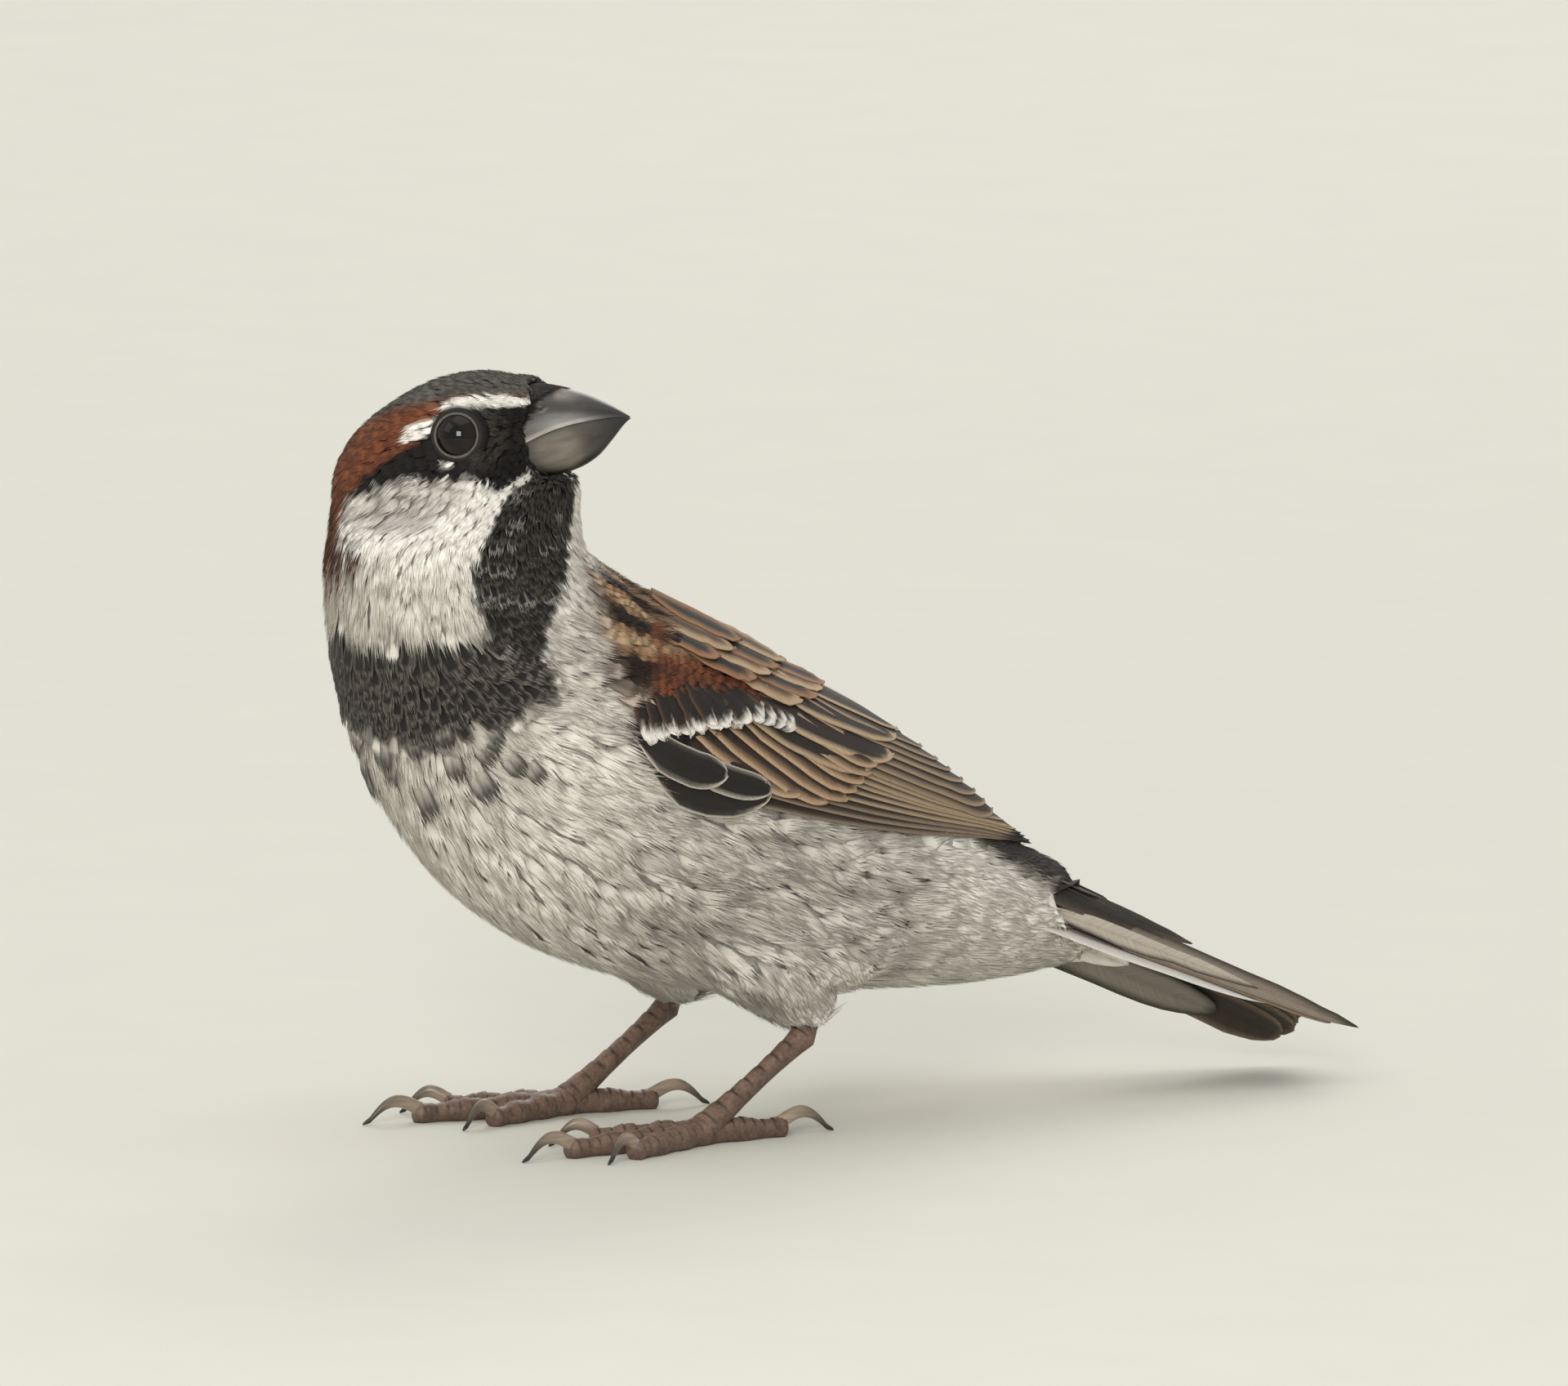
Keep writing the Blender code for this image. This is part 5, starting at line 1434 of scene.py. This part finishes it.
def make_bill():
    for part in ("upper", "lower"):
        upper = part == "upper"
        rings = []
        for s in np.linspace(0, 1, 26):
            meet, edge, wide = bill_section(upper, s)
            reach = float(through(BILL_REACH, s)[0])
            wide = max(wide, 0.1)
            meet += 0.03 if upper else -0.03
            depth = max(edge - meet, 0.1) if upper else min(edge - meet, -0.1)
            ring = []
            for i in range(41):
                angle = math.pi * (0.5 - 0.5 * math.cos(math.pi * i / 40))
                aside = wide * math.cos(angle)
                rise = math.sin(angle) ** (0.86 if upper else 0.78)
                # The culmen is a soft ridge, and the cutting edge turns slightly out.
                ridge = 1 + (0.05 if upper else 0.0) * math.exp(-((aside / 0.7) ** 2))
                lip = 1 + 0.05 * math.exp(-((math.sin(angle) / 0.16) ** 2)) * (1 - s)
                ring.append(from_head(np.array((aside * lip, -reach, meet + depth * rise * ridge / 1.03))))
            rings.append(ring)
        bm = loft_rings(rings)
        if upper:
            dent_nostrils(bm)
        mesh = smooth_mesh(bm, f"bill_{part}_horn")
        mesh.set_sharp_from_angle(angle=math.radians(50))
        paint_bill(mesh, upper)
        horn = horn_finish(f"bill_horn_{part}", tuple(-HEAD_AXES[:, 1]))
        join_model(new_piece(f"bill_{part}_horn", mesh, horn), "bill", f"bill_{part}")


def paint_bill(mesh, upper):
    """Slate horn, dark at the tip, paler along the cutting edge; a pale patch on the ridge's root is a
    painted highlight, and painted shade darkens the root under the feathers and the lower half's cutting
    edge.
    """
    q = in_head(on_bird(mesh))
    reach, high = -q[:, 1], q[:, 2]
    meet = np.interp(reach, BILL_REACH, BILL_MEET)
    edge = np.interp(reach, BILL_REACH, BILL_TOP if upper else BILL_FOOT)
    share = np.abs(high - meet) / np.maximum(np.abs(edge - meet), 0.3)
    tip = soft(reach - 17.6, 2.6)
    colours = np.tile((0.060, 0.055, 0.052) if upper else (0.085, 0.075, 0.064), (len(q), 1))

    def lay(colour, where):
        colours[:] += (np.array(colour) - colours) * np.clip(where, 0, 1)[:, None]

    if upper:
        # A painted highlight on the ridge's root.
        ridge = soft(share - 0.80, 0.14) * soft(15.6 - reach, 1.6) * soft(reach - 14.0, 0.5)
        lay((0.36, 0.33, 0.28), 0.8 * ridge)
        lay((0.16, 0.145, 0.125), 0.7 * soft(0.34 - share, 0.14) * soft(17 - reach, 3))
        lay((0.42, 0.385, 0.33), 0.9 * soft(0.42 - np.abs(high - meet), 0.16) * (1 - 0.7 * tip))
    else:
        lay((0.24, 0.21, 0.17), 0.75 * soft(2.3 - np.hypot((reach - 13.6), (share - 0.55) * 4.5), 1.2))
        lay((0.040, 0.036, 0.032), soft(share - 0.86, 0.1))
        # Painted shade along the lower half's cutting edge, under the upper half's lip.
        lay((0.03, 0.027, 0.024), 0.8 * soft(0.2 - np.abs(high - meet), 0.1))
    lay((0.018, 0.017, 0.016), 0.85 * tip)
    # Painted shade on the root, where the feathers and bristles cover it.
    root = np.interp(high, (-3.6, -2.7, 0.4, 3.0, 5.2, 6.4), (9.8, 9.4, 8.9, 10.2, 11.9, 13.0))
    lay((0.022, 0.020, 0.018), 0.85 * soft(root - reach, 0.35))
    paint(mesh, colours * 0.8)


def bill_surface(upper, reach, angle, off=0.0):
    """A place on the bill in the head's frame, and off it by that much."""
    s = float(np.interp(reach, BILL_REACH, np.linspace(0, 1, len(BILL_REACH))))
    meet, edge, wide = bill_section(upper, s)
    rise = math.sin(angle) ** 0.86
    high = meet + (edge - meet) * rise + math.copysign(off, edge - meet) * rise
    return np.array(((wide + off) * math.cos(angle), -reach, high))


def bristle_faces(sides, stations):
    """Corners of one bristle's faces, side by side up to its tip, and how many each has."""
    corners = []
    for k in range(stations - 2):
        for a, b in ((k * sides + j, k * sides + (j + 1) % sides) for j in range(sides)):
            corners += [a, a + sides, b + sides, b]
    tip, last = (stations - 1) * sides, (stations - 2) * sides
    for j in range(sides):
        corners += [last + j, tip, last + (j + 1) % sides]
    return np.array(corners + list(range(sides))), [4] * (sides * (stations - 2)) + [3] * (sides + 1)


def grow_bristles():
    """Short stiff feathers that lie forward over the root of the bill, from lores and chin."""
    points = []
    sides, stations = 3, 4
    for n in range(BRISTLES):
        upper = n % 5 < 4
        angle = RNG.uniform(0.02, math.pi - 0.02)
        height = bill_surface(upper, 11.0, angle)[2]
        root = float(np.interp(height, (-3.6, -2.7, 0.4, 3.0, 5.2, 6.1, 6.5),
                               (9.9, 9.5, 9.0, 10.3, 11.9, 13.4, 14.4)))
        root -= RNG.uniform(0.0, 1.0) * (2.6 if height > 5.5 else 1.0)
        long = RNG.uniform(1.0, 2.2) * float(np.interp(height, (-3, -1, 1, 3), (1, 0.7, 0.7, 1)))
        drift = RNG.normal(0, 0.05)
        outward = unit(np.array((math.cos(angle), 0, math.sin(angle) * (1 if upper else -1))))
        beside = np.cross(outward, (0, -1.0, 0))
        ring = []
        for k in range(stations):
            t = k / (stations - 1)
            turned = float(np.clip(angle + drift * t, 0.01, math.pi - 0.01))
            at = bill_surface(upper, root - 0.5 + long * t, turned, -0.10 + 0.30 * t**0.8)
            r = 0.10 * (1 - t) ** 0.7
            for turn in ([2 * math.pi * j / sides for j in range(sides)] if t < 1 else [0]):
                ring.append(at + outward * math.cos(turn) * r * 0.6 + beside * math.sin(turn) * r)
        points.append(from_head(np.array(ring)))
    corners, sizes = bristle_faces(sides, stations)
    each = len(points[0])
    every = np.concatenate(points)
    loops = (corners + each * np.arange(BRISTLES)[:, None]).ravel()
    mesh = mesh_of_arrays("bill_bristles", place(every), loops, np.tile(sizes, BRISTLES))
    bm = bmesh.new()
    bm.from_mesh(mesh)
    bmesh.ops.recalc_face_normals(bm, faces=bm.faces)
    bm.to_mesh(mesh)
    bm.free()
    tone = 1 + RNG.normal(0, 0.2, BRISTLES).repeat(each)[:, None] * 0.6
    paint(mesh, np.array(SOOT) * 0.7 * tone + (in_head(every)[:, 2:3] > 5.0) * 0.03)
    spot = np.arange(BRISTLES).repeat(len(corners))
    corner = np.tile(np.arange(len(corners)), BRISTLES)
    grid = np.column_stack([0.02 + (spot % 40) * 0.024 + (corner % 4) * 0.004,
                            0.02 + (spot // 40) * 0.06 + (corner // 4) * 0.004])
    add_uv(mesh, "Vane", np.zeros(len(loops) * 2))
    add_uv(mesh, "OFBake", grid)
    join_model(new_piece("bill_bristles", mesh, FACE_COAT), "head")


def dent_nostrils(bm):
    """Sinks a small round nostril into each side of the upper bill's root."""
    near = set()
    for vert in bm.verts:
        _, back, high = vert_in_head(vert)
        if abs(-back - NOSTRIL[0]) < 1.6 and abs(high - NOSTRIL[1]) < 1.5:
            near.update(vert.link_edges)
    bmesh.ops.subdivide_edges(bm, edges=list(near), cuts=2, use_grid_fill=True)
    for vert in bm.verts:
        q = vert_in_head(vert)
        r = math.hypot((-q[1] - NOSTRIL[0]) / 0.62, (q[2] - NOSTRIL[1]) / 0.48)
        if r < 1.8 and abs(q[0]) > 0.8:
            sink = -0.45 * math.exp(-(r**4)) + 0.06 * math.exp(-(((r - 1.3) / 0.3) ** 2))
            q[0] += math.copysign(sink, q[0])
            vert.co = place(from_head(q))


def make_eyes():
    finish = eye_finish()
    for side, name in SIDES:
        centre = EYE_PLACE * (side, 1, 1)
        look = eye_axis(side)
        bm = bmesh.new()
        bmesh.ops.create_uvsphere(bm, u_segments=48, v_segments=32, radius=1.0)
        axis = Vector(look).to_track_quat("Z", "Y").to_matrix()
        for vert in bm.verts:
            r = math.hypot(vert.co.x, vert.co.y)
            bulge = 1 + 0.035 * math.exp(-((r / 0.55) ** 4)) * (vert.co.z > 0)
            vert.co = place(from_head(centre + np.array(axis @ vert.co) * EYE_RADIUS * bulge))
        bmesh.ops.recalc_face_normals(bm, faces=bm.faces)
        mesh = smooth_mesh(bm, f"eyeball_{name}")
        r, rise = round_eye(in_head(on_bird(mesh)), side)
        rim = soft(r - 2.0, 0.25)
        colours = np.tile((0.010, 0.005, 0.003), (len(r), 1)) * (1 - 0.7 * rim[:, None])
        paint(mesh, blend(colours, 0.0015, soft(1.15 - r, 0.12) * (rise > 0)))
        join_model(new_piece(f"eyeball_{name}", mesh, finish), "eye", f"eye_{name}")


def scaled_tube(name, path, radius, count, sides, scale, plates, front, stands_for):
    """A limb with overlapping plates along its front or top and finer skin behind."""
    path = np.asarray(path, float)
    length = np.linalg.norm(np.diff(through(path, np.linspace(0, 1, 40)), axis=0), axis=1).sum()
    rings, shades = [], []
    for s in np.linspace(0, 1, count):
        at = through(path, s)
        way = unit(through(path, min(s + 0.01, 1)) - through(path, max(s - 0.01, 0)))
        up = unit(front - way * (front @ way))
        side = np.cross(way, up)
        r = float(np.interp(s, np.linspace(0, 1, len(radius)), radius))
        phase = (s * length / scale) % 1.0
        step = plates * (1 - phase) ** 0.8 - plates * 0.4
        seam = math.exp(-((min(phase, 1 - phase) / 0.10) ** 2))
        ring = []
        for i in range(sides):
            angle = 2 * math.pi * i / sides
            face = max(0.0, math.cos(angle)) ** 0.7
            out = r * (1 + (step - 0.35 * plates * seam) * face / max(r, 0.4))
            point = at + (side * math.sin(angle) + up * math.cos(angle)) * out
            point[2] = max(point[2], 0.0)
            ring.append(point)
            # Seams darker, and the plated front and top painted lighter: partly the plates' own tone, partly
            # painted light from above.
            shades.append(np.asarray(LEG_SKIN) * (1 - 0.72 * seam * face) * (0.8 + 0.3 * face))
        rings.append(ring)
    mesh = smooth_mesh(loft_rings(rings), name)
    paint(mesh, np.array(shades))
    join_model(new_piece(name, mesh, LEG), "leg", stands_for)


def make_claw(name, root, way, reach):
    """A curved, pointed claw on the floor, dark at its tip."""
    rings = []
    beside = np.cross(way, UP)
    for a in np.linspace(0, 1, 30):
        rise = 1.25 * math.sin(math.pi * min(a * 1.15, 1.0)) - 1.15 * a**3
        at = root + way * reach * a**0.92 + np.array((0, 0, rise))
        r = 0.80 * (1 - a) ** 0.62 + 0.10
        ring = []
        for i in range(16):
            turn = 2 * math.pi * i / 16
            point = at + beside * math.sin(turn) * r * 0.72 + UP * math.cos(turn) * r
            point[2] = max(point[2], 0.0)
            ring.append(point)
        rings.append(ring)
    mesh = smooth_mesh(loft_rings(rings), f"nail_{name}")
    out = (on_bird(mesh) - root) @ way / reach
    paint(mesh, blend((0.30, 0.235, 0.175), (0.025, 0.021, 0.018), soft(out - 0.62, 0.34)))
    horn = horn_finish(f"claw_horn_{name}", tuple(way), 0.3, 1500.0)
    join_model(new_piece(f"nail_{name}", mesh, horn), "claw", f"claw_{name}")


def make_leg(side, name):
    heel = np.array((side * FOOT_SPREAD, *HEEL))
    sole = np.array((side * FOOT_SPREAD, 0.0, 1.7))
    line = [heel + (sole - heel) * t for t in np.linspace(0.02, 1, 7)]
    swell = np.array((0.35, 1.22, 1.06, 0.98, 0.93, 0.92, 0.96, 1.0, 1.1, 1.25, 1.42)) * TARSUS_RADIUS * 0.98
    scaled_tube(f"tarsus_{name}", line, swell, 120, 24, 2.1, 0.13, np.array((0.0, -0.62, 0.78)),
                f"shank_{name}")
    for toe, length in TOE_LENGTH.items():
        angle = math.radians(FOOT_TURN[name] + side * TOE_ANGLE[toe])
        way = np.array((math.sin(angle), -math.cos(angle), 0.0))
        ahead, skip, pads = (-0.9, 2.9, 2) if toe == "hind" else (0.6, 1.5, 3)
        start = np.array((side * FOOT_SPREAD, 0, 0)) + way * ahead
        radius, line = [], []
        for a in np.linspace(0, 1, 31):
            radius.append(1.5 - 0.42 * a + 0.16 * math.cos(2 * math.pi * pads * a))
            line.append(start + way * (length + skip) * a + np.array((0, 0, 1.26 - 0.36 * a)))
        radius[-1] *= 0.72
        scaled_tube(f"digit_{toe}_{name}", line, radius, 100, 20, 1.35, 0.16, UP, f"toe_{toe}_{name}")
        root = start + way * (length + skip - 0.9) + np.array((0, 0, 1.3))
        make_claw(f"{toe}_{name}", root, way, CLAW_LENGTH[toe])


# ---------------------------------------------------------------- floor, lights and camera
def make_studio():
    bm = bmesh.new()
    bmesh.ops.create_circle(bm, cap_ends=True, segments=96, radius=9.0)
    sheet = new_piece("studio_floor", bmesh_to_mesh(bm, "studio_floor"), floor_finish())
    world = bpy.data.worlds.new("studio")
    world.use_nodes = True
    ground = world.node_tree.nodes["Background"]
    ground.inputs[0].default_value = (0.93, 0.925, 0.89, 1)
    ground.inputs[1].default_value = 0.66
    bpy.context.scene.world = world
    bpy.context.scene.view_settings.view_transform = "Standard"
    middle = Vector(place((0, 0, 42)))
    for name, way, power, size in (
            ("key", (0.90, -0.86, 0.44), 8.6, 0.44), ("fill", (-0.3, -1.2, 0.9), 2.2, 0.9),
            ("rim", (-0.9, 0.9, 0.9), 3.5, 0.6), ("sky", (0.1, 0.0, 1.4), 3.5, 1.2),
            ("backdrop", (-2.0, 1.4, 1.8), 14.0, 2.5)):
        lamp = bpy.data.lights.new(name, "AREA")
        lamp.energy = power
        lamp.size = size
        lamp.color = (1.0, 0.98, 0.95)
        holder = bpy.data.objects.new(name, lamp)
        holder.location = middle + Vector(way)
        holder.rotation_euler = Vector(way).to_track_quat("Z", "Y").to_euler()
        bpy.context.scene.collection.objects.link(holder)


# How far off the camera stands, how much it sees from side to side, and its film's width.
CAMERA_AWAY, VIEW_WIDE, SENSOR = 3000.0, 168.4, 36.0


def make_camera():
    """Looks at the bird from its left and a little from the front, from far off."""
    right = np.array((0.5736, 0.8192, 0.0))
    up = np.array((-0.114, 0.0798, 0.990))
    back = np.array((0.811, -0.568, 0.139))
    aim = right * 16.23 + up * 46.8
    lens = bpy.data.cameras.new("portrait")
    lens.sensor_width = SENSOR
    lens.lens = SENSOR * CAMERA_AWAY / VIEW_WIDE
    lens.clip_start, lens.clip_end = 0.5, 60.0
    holder = bpy.data.objects.new("camera", lens)
    holder.location = Vector(place(aim + back * CAMERA_AWAY))
    holder.rotation_euler = Matrix([Vector(right), Vector(up), Vector(back)]).transposed().to_euler()
    bpy.context.scene.collection.objects.link(holder)
    bpy.context.scene.camera = holder


make_camera()
make_studio()
make_skin()
grow_coat()
for model_side in SIDES:
    make_wing(*model_side)
    make_leg(*model_side)
make_tail()
make_bill()
grow_bristles()
make_eyes()

bpy.context.view_layer.update()
